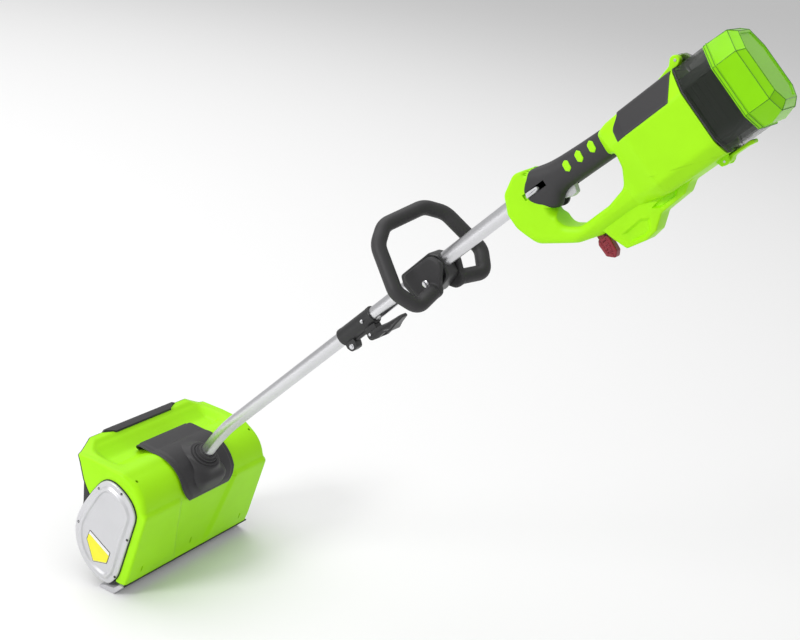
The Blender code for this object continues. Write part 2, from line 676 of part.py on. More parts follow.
def build_bail(upper):
    slide = empty("bail_slide_frame", (0.0, 0.0, LOOP_CENTRE), upper)
    low, high = 634.0 - LOOP_CENTRE, 712.0 - LOOP_CENTRE
    outline = rounded([(19.0, low + 6.0, 5.0), (19.0, high - 10.0, 8.0), (6.0, high, 8.0),
                       (-27.0, high - 6.0, 10.0), (-33.0, high - 36.0, 10.0),
                       (-24.0, low + 6.0, 12.0), (4.0, low, 6.0)])
    block = prism("bail_block", outline, -15.8, 15.8, "black_plastic", parent=slide, bevel=1.5)
    tilt_at = (BAIL_AXIS[0], BAIL_AXIS[1] - LOOP_CENTRE)
    tools = [turned("cut_block_bore", rod(PIPE_RADIUS + GAP, low - 5.0, high + 5.0),
                    "black_plastic", axis="Z", parent=slide),
             turned("cut_block_bolt_hole", rod(3.3, -30.0, 30.0), "black_plastic",
                    centre=tilt_at, parent=slide, segments=16),
             box("cut_block_split", (-0.8, -45.0, low - 5.0), (0.8, -5.0, high + 5.0),
                 "black_plastic", parent=slide)]
    combine(block, tools)
    tilt = empty("bail_tilt_axis", (0.0, *tilt_at), slide)
    yaw = math.radians(LOOP_YAW)
    path = []
    for across, up in loop_path():
        path.append((across * math.cos(yaw), up - tilt_at[0], across * math.sin(yaw) - tilt_at[1]))
    made = sweep_mesh(path[:-1] if path[0] == path[-1] else path, LOOP_RADIUS, sides=14)
    loop = finish("bail_loop", made, "grip_rubber", tilt)
    cheeks = []
    for side, name in ((-1.0, "left"), (1.0, "right")):
        ends = sorted((side * 16.1, side * 27.0))
        across = side * 36.0 * math.sin(yaw) - tilt_at[1]
        ear = rounded([(17.0, -17.0, 14.0), (17.0, 17.0, 14.0), (-17.0, 20.0 + 0.4 * across, 13.0),
                       (-24.0, 0.4 * across, 10.0), (-17.0, -20.0 + 0.4 * across, 13.0)], 4)
        cheeks.append(prism("join_cheek_" + name, ear, ends[0], ends[1], "grip_rubber",
                            parent=tilt, bevel=2.0))
        start = (side * 36.0 * math.cos(yaw), -33.0 - tilt_at[0], across)
        root = (side * 22.0, -33.0 - tilt_at[0] + 3.0, across * 0.55)
        cheeks.append(finish("join_root_" + name,
                             sweep_mesh([root, start, (start[0] + side * 4.0, start[1] - 0.4,
                                                       start[2] + side * 1.6)], 10.2, sides=14),
                             "grip_rubber", tilt))
    combine(loop, cheeks, "UNION")
    bores = [turned("cut_cheek_bolt_hole", rod(3.3, -40.0, 40.0), "grip_rubber", parent=tilt,
                    segments=16)]
    bores.append(box("cut_cheek_inner_face", (-16.1, -60.0, -60.0), (16.1, 30.0, 60.0),
                     "grip_rubber", parent=tilt))
    combine(loop, bores)
    bolt = [(0.0, -31.4), (4.2, -31.4), (5.4, -30.4), (5.4, -27.3), (3.0, -27.3), (3.0, 31.0),
            (0.0, 31.0)]
    turned("bail_bolt", bolt, "steel", parent=tilt, segments=18)
    knob = [(3.3, 27.4), (9.0, 27.4), (13.0, 30.0), (13.0, 38.0), (11.0, 40.0), (0.0, 40.0),
            (0.0, 31.4), (3.3, 31.4)]
    turned("bail_knob", knob, "black_plastic", parent=tilt, segments=18)
    return slide, tilt


# ---------------------------------------------------------------- battery handle

def handle_outline():
    """Side view of the neck, grip, lower rail and key block, as (n, p) points."""
    return rounded([(-8.0, 839.0, 6.0), (18.0, 852.0, 12.0), (32.0, 880.0, 16.0),
                    (23.0, 908.0, 20.0), (12.0, 960.0, 0.0), (9.0, 1030.0, 0.0),
                    (9.0, 1070.0, 0.0), (-104.0, 1070.0, 0.0), (-104.0, 932.0, 8.0),
                    (-96.0, 902.0, 12.0), (-62.0, 850.0, 14.0), (-30.0, 840.0, 12.0)], 4)


def grip_opening():
    return rounded([(-29.5, 902.0, 6.0), (-29.5, 1018.0, 6.0), (-50.0, 1014.0, 14.0),
                    (-72.0, 998.0, 12.0), (-79.0, 968.0, 12.0), (-79.0, 916.0, 12.0),
                    (-66.0, 896.0, 14.0)], 4)


def housing_section(half, top, side_top, side_low, low, inset_top, inset_low):
    return [(-half + inset_top, top), (half - inset_top, top), (half, side_top),
            (half, side_low), (half - inset_low, low), (-half + inset_low, low),
            (-half, side_low), (-half, side_top)]


def build_handle(upper):
    full = housing_section(HOUSING_HALF, 10.0, -22.0, -96.0, -114.0, 20.0, 14.0)
    slim = housing_section(NECK_HALF - 3.0, 5.5, -20.0, -92.0, -101.0, 8.0, 6.0)
    stations = [(slim, 1000.0), (full, 1046.0), (full, HOUSING_END)]
    sections = [[(x, n, p) for x, n in outline] for outline, p in stations]
    housing = loft("join_housing", sections, "green_plastic", upper)
    fin_outline = rounded([(-98.0, 938.0, 0.0), (-136.0, 946.0, 4.0), (-144.0, 976.0, 4.0),
                           (-138.0, 994.0, 3.0), (-124.0, 1014.0, 6.0), (-122.0, 1056.0, 5.0),
                           (-112.0, 1066.0, 0.0), (-98.0, 1066.0, 0.0)], 3)
    fin = prism("join_key_block", fin_outline, -17.0, 17.0, "green_plastic", parent=upper,
                bevel=2.0)
    ears = []
    for low, high, name in ((-22.0, -10.3, "left"), (10.3, 22.0, "right")):
        outline = [(8.5, 1118.0), (8.5, 1137.6), (HOOD_AXIS[0] - HINGE_RADIUS, 1140.0)]
        outline += arc(HOOD_AXIS, HINGE_RADIUS, 180.0, -60.0, 9)
        ears.append(prism("join_hinge_ear_" + name, outline, low, high, "green_plastic",
                          parent=upper))
    for low, high, name in ((-13.6, -9.4, "left"), (9.4, 13.6, "right")):
        outline = arc(LATCH_AXIS, 5.0, 90.0, 270.0, 8) + [(-112.0, 1117.0), (-112.0, 1131.0)]
        ears.append(prism("join_latch_lug_" + name, outline, low, high, "green_plastic",
                          parent=upper))
    opening = prism("cut_grip_opening", grip_opening(), -70.0, 70.0, "green_plastic",
                    parent=upper)
    bay_outline = housing_section(40.5, -3.0, -18.0, -99.0, -103.0, 9.5, 4.0)
    bay = loft("cut_battery_bay", [[(x, n, p) for x, n in bay_outline] for p in (1062.0, 1160.0)],
               "green_plastic", upper)
    board_room = box("cut_board_room", (-19.0, -94.0, 1030.0), (19.0, -26.0, 1064.0),
                     "green_plastic", parent=upper)
    pipe_bore = turned("cut_handle_pipe_bore", rod(PIPE_RADIUS + GAP, 820.0, 894.0),
                       "green_plastic", axis="Z", parent=upper)
    grip_room = box("cut_grip_duct", (-9.0, -16.0, 893.0), (9.0, 3.0, 1040.0),
                    "green_plastic", parent=upper)
    key_room = box("cut_key_room", (-8.0, -140.0, KEY_AXIS[1] - 5.6),
                   (8.0, KEY_AXIS[0] + 10.6, KEY_AXIS[1] + 5.6), "green_plastic", parent=upper)
    slider_room = box("cut_slider_room", (-40.0, -8.0, 874.0), (-9.0 - PIPE_RADIUS, 0.5, 904.0),
                      "green_plastic", parent=upper)
    hinge_bore = turned("cut_hood_pin_bore", rod(2.3, -30.0, 30.0), "green_plastic",
                        centre=HOOD_AXIS, parent=upper, segments=14)
    latch_slot = box("cut_latch_slot", (-9.4, -140.0, 1112.0), (9.4, -108.6, 1150.0),
                     "green_plastic", parent=upper)
    latch_bore = turned("cut_latch_pin_bore", rod(1.8, -30.0, 30.0), "green_plastic",
                        centre=LATCH_AXIS, parent=upper, segments=14)
    trigger_bore = turned("cut_trigger_pin_bore", rod(2.0, -12.4, 12.4), "green_plastic",
                          centre=TRIGGER_AXIS, parent=upper, segments=14)
    cuts = [grip_recess(upper), opening, trigger_bore, bay, board_room, pipe_bore, grip_room,
            trigger_room("cut_trigger_room", upper), key_room, slider_room, hinge_bore,
            latch_slot, latch_bore]
    halves = []
    for side, name in ((-1.0, "left"), (1.0, "right")):
        half = prism("handle_%s_half" % name, handle_outline(), -NECK_HALF, NECK_HALF,
                     "green_plastic", parent=upper, bevel=4.0, bevel_steps=2)
        combine(half, [housing, fin] + ears, "UNION")
        combine(half, cuts)
        ends = sorted((side * 0.15, side * -90.0))
        away = box("cut_other_half_" + name, (ends[0], -200.0, 800.0), (ends[1], 60.0, 1200.0),
                   "green_plastic", parent=upper)
        halves.append(combine(half, [away]))
    return halves


def grip_sections(shrink, low, high):
    """Oval stations (half width, top, bottom) of the grip, between two heights."""
    stations = [(low, 21.5, 23.0, -31.0), (919.0, 20.5, 19.0, -30.5),
                (962.0, 19.0, 12.6, -29.5), (high, 19.5, 9.2, -30.5)]
    sections = []
    count = 20
    for p, half, top, bottom in stations:
        middle = (top + bottom) / 2.0
        tall = (top - bottom) / 2.0 - shrink
        section = []
        for i in range(count):
            angle = 2.0 * math.pi * (i + 0.5) / count
            across = math.copysign(abs(math.cos(angle)) ** 0.62, math.cos(angle))
            up = math.copysign(abs(math.sin(angle)) ** 0.62, math.sin(angle))
            section.append((across * (half - shrink), middle + up * tall, p))
        sections.append(section)
    return sections


def trigger_room(name, upper):
    return box(name, (-7.4, -60.0, 899.0), (7.4, -8.0, 946.0), "green_plastic", parent=upper)


def build_grip_sleeve(upper):
    """The soft sleeve moulded round the grip, open underneath for the trigger."""
    low, high = GRIP
    sleeve_skin = loft("grip_sleeve", grip_sections(0.0, low, high), "grip_rubber", upper)
    inside = loft("cut_sleeve_inside", grip_sections(GRIP_SKIN, low - 5.0, high + 5.0),
                  "grip_rubber", upper)
    return combine(sleeve_skin, [inside, trigger_room("cut_sleeve_trigger_slot", upper)])


def grip_recess(upper):
    """Everything round the grip's core, to be cut away where the sleeve sits."""
    low, high = GRIP
    block = box("cut_grip_recess", (-70.0, -48.0, low - GAP), (70.0, 70.0, high + GAP),
                "green_plastic", parent=upper)
    core = loft("keep_grip_core", grip_sections(GRIP_SKIN + GAP, low - 9.0, high + 9.0),
                "green_plastic", upper)
    return combine(block, [core])


def build_top_pad(upper):
    """The dark pad wrapped over the housing's top and its two upper bevels."""
    line = [(-HOUSING_HALF - 0.3, -19.6), (-26.1, 10.3), (26.1, 10.3), (HOUSING_HALF + 0.3, -19.6)]
    return prism("top_pad", band(line, 2.2), 1049.0, 1114.0, "dark_plastic", axis="Z",
                 parent=upper)


def build_trigger(upper):
    trigger_frame = empty("trigger_axis", (0.0, *TRIGGER_AXIS), upper)
    outline = rounded([(4.0, -4.0, 3.0), (4.0, 8.0, 2.0), (-2.0, 34.0, 2.0), (-12.0, 37.0, 3.0),
                       (-28.0, 30.0, 6.0), (-20.0, 16.0, 10.0), (-15.0, 4.0, 4.0),
                       (-6.0, -4.0, 4.0)], 3)
    lever = prism("trigger", outline, -6.6, 6.6, "light_grey_plastic", parent=trigger_frame,
                  bevel=1.4)
    combine(lever, [turned("cut_trigger_bore", rod(2.0, -20.0, 20.0), "light_grey_plastic",
                           parent=trigger_frame, segments=14)])
    turned("trigger_pin", rod(1.7, -12.0, 12.0), "steel", centre=TRIGGER_AXIS, parent=upper,
           segments=14)
    box("trigger_switch", (-6.5, -9.0, 948.0), (6.5, 1.5, 974.0), "black_plastic", bevel=0.8,
        parent=upper)
    slider_frame = empty("slider_axis", (-22.0, -4.0, 889.0), upper)
    box("lock_off_slider", (-4.6, -3.4, -12.0), (1.4, 3.8, 6.0), "silver_cover", bevel=1.2,
        parent=slider_frame)


def build_battery(upper):
    battery_frame = empty("battery_axis", (0.0, -50.0, 1070.0), upper)
    sections = []
    for half, top, low, p in ((35.0, 42.0, -47.0, 0.0), (37.0, 44.0, -49.0, 2.0),
                              (37.0, 44.0, -49.0, 96.0), (36.0, 43.0, -36.0, 134.0)):
        sections.append([(x, n, p) for x, n in housing_section(half, top, top - 7.5, low + 4.0,
                                                               low, 5.5, 4.0)])
    pack = loft("battery_pack", sections, "black_plastic", battery_frame)
    combine(pack, [box("cut_battery_button_room", (-8.4, 34.0, 108.0), (8.4, 60.0, 124.0),
                       "black_plastic", parent=battery_frame),
                   box("cut_battery_contacts", (-15.0, -20.0, -5.0), (15.0, 12.0, 12.0),
                       "black_plastic", parent=battery_frame)])
    button_frame = empty("battery_button_axis", (0.0, 40.0, 116.0), battery_frame)
    box("battery_release_button", (-8.0, -1.4, -7.6), (8.0, 5.4, 7.6), "red_plastic", bevel=0.8,
        parent=button_frame)
    box("terminal_block", (-14.0, -68.0, 1062.4), (14.0, -42.0, 1080.0), "black_plastic",
        bevel=0.6, parent=upper)
    box("controller_board", (-17.0, -90.0, 1040.0), (17.0, -32.0, 1042.0), "board_green",
        parent=upper)


def hood_section(grow):
    """The eight-sided outline of the battery hood, grown by a wall thickness."""
    return housing_section(HOUSING_HALF + 1.0 + grow, 9.0 + grow, -22.0, -92.0, -113.0 - grow,
                           20.0 + 0.4 * grow, 18.0 + 0.4 * grow)


def build_hood(upper):
    hood_frame = empty("hood_axis", (0.0, *HOOD_AXIS), upper)

    def local(outline, p):
        return [(x, n - HOOD_AXIS[0], p - HOOD_AXIS[1]) for x, n in outline]

    wall = hood_section(0.0)
    rim = hood_section(1.4)
    bay = hood_section(-2.6)
    start = HOUSING_END + 1.4
    skirt = loft("battery_hood", [local(rim, start), local(rim, start + 5.0),
                                  local(wall, start + 7.0), local(wall, HOOD_SPLIT)],
                 "smoked_clear", hood_frame)
    hollow = loft("cut_hood_hollow", [local(bay, start - 4.0), local(bay, HOOD_SPLIT + 4.0)],
                  "smoked_clear", hood_frame)
    knuckle_line = [(-10.4, -4.0), (-10.4, 12.0), (-8.0, 14.0)]
    knuckle_line += arc((0.0, 0.0), HINGE_RADIUS, 60.0, -130.0, 8)
    knuckle = prism("join_hood_knuckle", knuckle_line, -9.9, 9.9, "smoked_clear",
                    parent=hood_frame)
    pin_bore = turned("cut_knuckle_bore", rod(2.3, -30.0, 30.0), "smoked_clear",
                      parent=hood_frame, segments=14)
    combine(skirt, [knuckle], "UNION")
    combine(skirt, [hollow, pin_bore])
    end_outline_small = scaled(wall, (0.0, -52.0), 0.80)
    cap = loft("battery_hood_cap", [local(wall, HOOD_SPLIT + GAP), local(wall, HOOD_END - 22.0),
                                    local(end_outline_small, HOOD_END)], "green_clear",
               hood_frame)
    end_inner = scaled(bay, (0.0, -52.0), 0.80)
    combine(cap, [loft("cut_cap_hollow",
                       [local(bay, HOOD_SPLIT - 4.0), local(bay, HOOD_END - 22.6),
                        local(end_inner, HOOD_END - 3.0)], "green_clear", hood_frame)])
    turned("hood_pin", rod(2.0, -22.4, 22.4, 0.3), "steel", centre=HOOD_AXIS, parent=upper,
           segments=14)
    return hood_frame


def build_hood_latch(upper):
    latch_frame = empty("latch_axis", (0.0, *LATCH_AXIS), upper)
    outline = rounded([(4.0, -9.0, 2.0), (4.0, 9.0, 1.0), (2.2, 12.0, 0.0), (2.2, 40.0, 0.0),
                       (-1.6, 43.0, 0.0), (-1.6, 12.0, 1.0), (-3.6, 6.0, 2.0),
                       (-3.6, -9.0, 2.0)], 2)
    arm = prism("hood_latch", outline, -8.8, 8.8, "green_plastic", parent=latch_frame)
    combine(arm, [turned("cut_latch_bore", rod(1.8, -20.0, 20.0), "green_plastic",
                         parent=latch_frame, segments=14)])
    turned("latch_pin", rod(1.5, -13.8, 13.8), "steel", centre=LATCH_AXIS, parent=upper,
           segments=14)


def build_key(upper):
    """The pull-out safety key under the lower rail."""
    key_frame = empty("key_axis", (0.0, *KEY_AXIS), upper)
    outline = rounded([(9.8, -4.6, 1.0), (9.8, 4.6, 1.0), (-1.0, 4.6, 0.0), (-2.8, 8.6, 1.0),
                       (-27.0, 7.6, 2.5), (-34.0, 1.0, 2.5), (-25.0, -9.0, 2.5),
                       (-6.0, -9.6, 2.5), (-1.0, -4.6, 0.0)], 2)
    prism("safety_key", outline, -7.4, 7.4, "red_plastic", parent=key_frame, bevel=1.0)


# ---------------------------------------------------------------- assembly

def build():
    clear_scene()
    build_head_shell()
    build_end_plates()
    build_end_covers()
    build_scraper()
    build_lip_trim()
    build_inner_shroud()
    build_motor_cover()
    rotor_frame, motor_frame = build_belt_drive()
    build_motor(motor_frame)
    build_rotor(rotor_frame)
    pole = empty("pole_frame", PIPE_ORIGIN, rotation_x=math.radians(90.0 - PIPE_ELEVATION))
    build_lower_pipe(pole)
    upper = empty("upper_pole_frame", (0.0, 0.0, 0.0), pole)
    build_coupler(pole, upper)
    build_upper_pipe(upper)
    build_bail(upper)
    build_handle(upper)
    build_grip_sleeve(upper)
    build_top_pad(upper)
    build_trigger(upper)
    build_battery(upper)
    build_hood(upper)
    build_hood_latch(upper)
    build_key(upper)


build()
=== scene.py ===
"""Looks of the cordless snow shovel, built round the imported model.

Lengths are in millimetres until a mesh is made.  Points on the head are (x, y, z) in the row
frame.  Points on the pole are (x, n, p) in the pole's own frame: n is its upper side and p runs
up to the battery.
"""
import json
import math

import bmesh
import bpy
import numpy as np
from mathutils import Matrix, Vector


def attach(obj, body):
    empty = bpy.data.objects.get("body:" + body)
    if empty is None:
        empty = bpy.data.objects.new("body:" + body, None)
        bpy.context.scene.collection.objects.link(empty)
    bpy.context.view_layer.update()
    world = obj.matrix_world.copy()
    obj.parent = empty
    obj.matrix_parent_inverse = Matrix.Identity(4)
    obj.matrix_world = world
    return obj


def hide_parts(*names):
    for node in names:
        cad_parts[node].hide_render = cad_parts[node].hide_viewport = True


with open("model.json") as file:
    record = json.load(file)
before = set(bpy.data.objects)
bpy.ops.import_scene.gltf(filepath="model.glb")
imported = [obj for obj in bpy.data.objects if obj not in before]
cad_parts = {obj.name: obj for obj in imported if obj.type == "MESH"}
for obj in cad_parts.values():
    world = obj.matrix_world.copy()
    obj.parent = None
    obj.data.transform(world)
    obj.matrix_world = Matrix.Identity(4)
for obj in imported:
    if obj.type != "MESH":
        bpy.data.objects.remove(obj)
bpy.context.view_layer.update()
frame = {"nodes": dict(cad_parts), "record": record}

MM = 0.001
HEAD = Matrix.Scale(MM, 4)
POLE = (Matrix.Translation((0, 0.050, 0.1175)) @ Matrix.Rotation(math.radians(41), 4,
    "X") @ Matrix.Scale(MM, 4))
STUB = (POLE @ Matrix.Translation((0, -13, 128)) @ Matrix.Rotation(math.radians(-13), 4, "X"))
HALF = 160
BARREL = (2, 147)
BARREL_R = 61
SIDE_RISE, MIDDLE_DROP, BLOCK_EDGE = 1.6, 4.4, 9
ROTOR = (16, 70)
UP = (0, 0, 1)
TUBE_R = 11
LOOP_P = 690
LOOP_BOLT = (-15.5, 676)
HOUSING_END = 1138
BATTERY_N, BATTERY_P = -50, 1070
# Radius of the lines painted as shade along the hood cap's facet edges.
HOOD_SHADE_LINE = 0.42
PAD_FLAT = 0.42


# ------------------------------------------------------------------ outlines

def smooth(t):
    t = np.clip(t, 0, 1)
    return t * t * (3 - 2 * t)


def step(value, start, end):
    """0 before start, 1 after end, smooth between them."""
    return smooth((np.asarray(value, float) - start) / (end - start))


def arc(centre, radius, start, end, steps):
    angles = np.radians(np.linspace(start, end, steps + 1))
    return [(centre[0] + radius * math.cos(a), centre[1] + radius * math.sin(a)) for a in angles]


def fillet(corners, steps=6, closed=True):
    """Round the corners of a line given as (a, b, radius)."""
    line = []
    count = len(corners)
    for i, (a, b, radius) in enumerate(corners):
        if radius <= 0 or (not closed and i in (0, count - 1)):
            line.append((a, b))
            continue
        here = Vector((a, b))
        before = (Vector(corners[i - 1][:2]) - here).normalized()
        after = (Vector(corners[(i + 1) % count][:2]) - here).normalized()
        half = before.angle(after) / 2
        reach = radius / math.tan(half)
        centre = here + (before + after).normalized() * radius / math.sin(half)
        first = here + before * reach - centre
        turn = first.angle_signed(here + after * reach - centre)
        for j in range(steps + 1):
            point = first.copy()
            point.rotate(Matrix.Rotation(-turn * j / steps, 2))
            line.append(tuple(centre + point))
    return line


def resample(points, count, closed=True):
    """Evenly spaced points along a line."""
    line = np.array(list(points) + ([points[0]] if closed else []), float)
    along = np.concatenate([[0], np.cumsum(np.linalg.norm(np.diff(line, axis=0), axis=1))])
    at = np.linspace(0, along[-1], count, endpoint=not closed)
    return np.stack([np.interp(at, along, line[:, k]) for k in range(line.shape[1])], axis=1)


def relax(points, passes=6):
    """Soften a closed, evenly spaced outline."""
    line = np.array(points, float)
    for _ in range(passes):
        line = 0.5 * line + 0.25 * (np.roll(line, 1, axis=0) + np.roll(line, -1, axis=0))
    return line


def inset(points, distance):
    """Move a dense closed outline inwards."""
    line = np.array(points, float)
    along = np.roll(line, -1, axis=0) - np.roll(line, 1, axis=0)
    along /= np.linalg.norm(along, axis=1)[:, None] + 1e-12
    normal = np.stack([-along[:, 1], along[:, 0]], axis=1)
    x, y = line[:, 0], line[:, 1]
    area = np.sum(x * np.roll(y, -1) - np.roll(x, -1) * y)
    return line + normal * distance * (1 if area > 0 else -1)


def superellipse(half, top, low, power, count=48, turn=0.5):
    """A rounded-square ring of (x, n) points between a top and a low height."""
    angles = 2 * math.pi * (np.arange(count) + turn) / count
    c, s = np.cos(angles), np.sin(angles)
    x = np.sign(c) * np.abs(c) ** (2 / power) * half
    n = (top + low) / 2 + np.sign(s) * np.abs(s) ** (2 / power) * (top - low) / 2
    return x, n


def turns(count):
    """Angles spread evenly round a circle."""
    return np.linspace(0, 2 * math.pi, count, endpoint=False)


def grid(rows, columns, flip=False):
    """Faces of a sheet of points that are listed row by row."""
    faces = []
    for a in (i * columns + k for i in range(rows - 1) for k in range(columns - 1)):
        one, two = (a + columns, a + 1) if flip else (a + 1, a + columns)
        faces.append((a, one, a + columns + 1, two))
    return faces


# ------------------------------------------------------------------ meshes

def outward(mesh):
    """Turn the faces of a closed mesh outwards."""
    made = bmesh.new()
    made.from_mesh(mesh)
    bmesh.ops.recalc_face_normals(made, faces=made.faces)
    made.to_mesh(mesh)
    made.free()


def crisp(mesh, angle):
    """Smooth shading, with sharp edges above an angle."""
    mesh.shade_smooth()
    mesh.set_sharp_from_angle(angle=math.radians(angle))


def piece(name, verts, faces, mat, body, slot=None, place=None, replaces=(), sharp=38,
        weighted=True, flip_check=True):
    """One named object that rides on a body of the model.

    Its frame is the body's own, unless a place is given. The slot argument is not used.
    """
    if place is None:
        place = HEAD if body in ("head", "rotor") else POLE
    mesh = bpy.data.meshes.new(name)
    moved = [tuple(place @ Vector(v)) for v in verts]
    mesh.from_pydata(moved, [], [tuple(f) for f in faces])
    if flip_check:
        outward(mesh)
    mesh.materials.append(MATERIALS[mat])
    crisp(mesh, sharp)
    obj = bpy.data.objects.new(name, mesh)
    bpy.context.scene.collection.objects.link(obj)
    if weighted:
        normals = obj.modifiers.new("weighted", "WEIGHTED_NORMAL")
        normals.keep_sharp = True
    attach(obj, body)
    if replaces:
        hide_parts(*replaces)
    return obj


def through(rings, caps=(True, True), loop=False):
    """Vertices and faces of a skin through closed rings of equally many points."""
    count = len(rings[0])
    verts = [tuple(p) for ring in rings for p in ring]
    faces = []
    pairs = len(rings) if loop else len(rings) - 1
    for i in range(pairs):
        a, b = i * count, ((i + 1) % len(rings)) * count
        for k in range(count):
            n = (k + 1) % count
            faces.append((a + k, a + n, b + n, b + k))
    if caps[0] and not loop:
        faces.append(tuple(range(count - 1, -1, -1)))
    if caps[1] and not loop:
        faces.append(tuple(range(len(verts) - count, len(verts))))
    return verts, faces


def merge(*parts):
    """Several (verts, faces) pairs as one."""
    verts, faces = [], []
    for part_verts, part_faces in parts:
        start = len(verts)
        verts += [tuple(v) for v in part_verts]
        faces += [tuple(i + start for i in face) for face in part_faces]
    return verts, faces


def turned(profile, axis="p", centre=(0, 0), segments=48):
    """A lathe skin from a closed (radius, height) profile; caps close it at the axis."""
    rings = []
    for radius, height in profile:
        ring = []
        for i in range(segments):
            angle = 2 * math.pi * i / segments
            a = centre[0] + radius * math.cos(angle)
            b = centre[1] + radius * math.sin(angle)
            ring.append((a, b, height) if axis == "p" else (height, a, b))
        rings.append(ring)
    return through(rings)


def plate(outline, low, high, bevel, steps=3, detail=(), axis="x"):
    """A plate with rounded edges; detail is (inset, depth) rings sunk into both faces."""
    rounding = []
    for i in range(steps + 1):
        a = math.pi / 2 * i / steps
        rounding.append((bevel * (1 - math.sin(a)), bevel * (1 - math.cos(a))))
    stations = [(bevel + d, low + h) for d, h in reversed(list(detail))]
    stations += [(d, low + h) for d, h in rounding]
    stations += [(d, high - h) for d, h in reversed(rounding)]
    stations += [(bevel + d, high - h) for d, h in detail]
    rings = []
    for d, height in stations:
        ring = inset(outline, d)
        if axis == "x":
            rings.append([(height, a, b) for a, b in ring])
        else:
            rings.append([(a, b, height) for a, b in ring])
    return through(rings)


def sweep(path, radius, sides=32, side=(1, 0, 0)):
    """A round bar along a path."""
    points = [Vector(p) for p in path]
    rings = []
    side = Vector(side)
    for i, here in enumerate(points):
        along = (points[min(len(points) - 1, i + 1)] - points[max(0, i - 1)]).normalized()
        side = (side - along * side.dot(along)).normalized()
        across = along.cross(side)
        a, b = superellipse(1, 1, -1, 2, sides, 0)
        rings.append([here + side * (u * radius) + across * (v * radius) for u, v in zip(a, b)])
    return through(rings)


def solid(obj, thickness):
    """Thicken an open skin inwards."""
    skin = obj.modifiers.new("skin", "SOLIDIFY")
    skin.thickness = thickness * MM
    skin.offset = -1
    skin.use_rim = True
    skin.use_even_offset = True
    apply_modifiers(obj)


def apply_modifiers(obj):
    graph = bpy.context.evaluated_depsgraph_get()
    mesh = bpy.data.meshes.new_from_object(obj.evaluated_get(graph))
    obj.modifiers.clear()
    obj.data = mesh


def melt(obj, voxel, passes):
    """Fuse the overlapping solids of one object and soften where they meet."""
    fuse = obj.modifiers.new("fuse", "REMESH")
    fuse.mode = "VOXEL"
    fuse.voxel_size = voxel * MM
    fuse.use_smooth_shade = True
    soften = obj.modifiers.new("soften", "SMOOTH")
    soften.factor = 0.5
    soften.iterations = passes
    apply_modifiers(obj)
    obj.data.shade_smooth()


def cut(obj, tools):
    """Cut closed (verts, faces, place) shapes out of an object."""
    for number, (verts, faces, place) in enumerate(tools):
        mesh = bpy.data.meshes.new("tool")
        mesh.from_pydata([tuple(place @ Vector(v)) for v in verts], [], faces)
        outward(mesh)
        tool = bpy.data.objects.new("tool_%d" % number, mesh)
        bpy.context.scene.collection.objects.link(tool)
        step_cut = obj.modifiers.new("cut", "BOOLEAN")
        step_cut.operation = "DIFFERENCE"
        step_cut.solver = "MANIFOLD"
        step_cut.object = tool
        apply_modifiers(obj)
        bpy.data.objects.remove(tool)


# ------------------------------------------------------------------ materials

def surface(name, colour, roughness, grain=700, bump=0.10, depth=0.12, mottle=0.05, edge_highlight=0,
        metallic=0, alpha=1, stretch=(1, 1, 1), turn=0, spread=0.08, specular=0.5):
    """A moulded, painted or drawn surface: grain, slow colour drift and a painted highlight on
    convex edges.
    """
    made = bpy.data.materials.new(name)
    made.use_nodes = True
    tree = made.node_tree
    shader = tree.nodes["Principled BSDF"]
    place = tree.nodes.new("ShaderNodeTexCoord")
    mapping = tree.nodes.new("ShaderNodeMapping")
    mapping.inputs["Rotation"].default_value = (turn, 0, 0)
    mapping.inputs["Scale"].default_value = stretch
    tree.links.new(place.outputs["Object"], mapping.inputs["Vector"])

    def noise(scale, detail, rough):
        node = tree.nodes.new("ShaderNodeTexNoise")
        node.inputs["Scale"].default_value = scale
        node.inputs["Detail"].default_value = detail
        node.inputs["Roughness"].default_value = rough
        tree.links.new(mapping.outputs["Vector"], node.inputs["Vector"])
        return node

    fine = noise(grain, 4, 0.6)
    slow = noise(14, 3, 0.55)
    ramp = tree.nodes.new("ShaderNodeValToRGB")
    ramp.color_ramp.elements[0].position = 0.3
    ramp.color_ramp.elements[1].position = 0.7
    ramp.color_ramp.elements[0].color = (*[c * (1 - mottle) for c in colour], 1)
    ramp.color_ramp.elements[1].color = (*[min(1, c * (1 + mottle)) for c in colour], 1)
    tree.links.new(slow.outputs["Fac"], ramp.inputs["Fac"])
    last = ramp.outputs["Color"]
    # Painted highlight: where pointiness finds a convex edge, the colour is mixed towards a brighter
    # copy of itself.
    if edge_highlight > 0:
        shape = tree.nodes.new("ShaderNodeNewGeometry")
        edge = tree.nodes.new("ShaderNodeMapRange")
        edge.inputs["From Min"].default_value = 0.52
        edge.inputs["From Max"].default_value = 0.62
        edge.inputs["To Max"].default_value = edge_highlight
        mix = tree.nodes.new("ShaderNodeMix")
        mix.data_type = "RGBA"
        mix.inputs["B"].default_value = (*[min(1, c * 1.6 + 0.06) for c in colour], 1)
        tree.links.new(shape.outputs["Pointiness"], edge.inputs["Value"])
        tree.links.new(edge.outputs["Result"], mix.inputs["Factor"])
        tree.links.new(last, mix.inputs["A"])
        last = mix.outputs["Result"]
    tree.links.new(last, shader.inputs["Base Color"])
    gloss = tree.nodes.new("ShaderNodeMapRange")
    gloss.inputs["To Min"].default_value = max(0.02, roughness - spread)
    gloss.inputs["To Max"].default_value = min(1, roughness + spread)
    tree.links.new(fine.outputs["Fac"], gloss.inputs["Value"])
    tree.links.new(gloss.outputs["Result"], shader.inputs["Roughness"])
    relief = tree.nodes.new("ShaderNodeBump")
    relief.inputs["Strength"].default_value = bump
    relief.inputs["Distance"].default_value = depth * MM
    tree.links.new(fine.outputs["Fac"], relief.inputs["Height"])
    tree.links.new(relief.outputs["Normal"], shader.inputs["Normal"])
    shader.inputs["Metallic"].default_value = metallic
    shader.inputs["Alpha"].default_value = alpha
    shader.inputs["Specular IOR Level"].default_value = specular
    return made


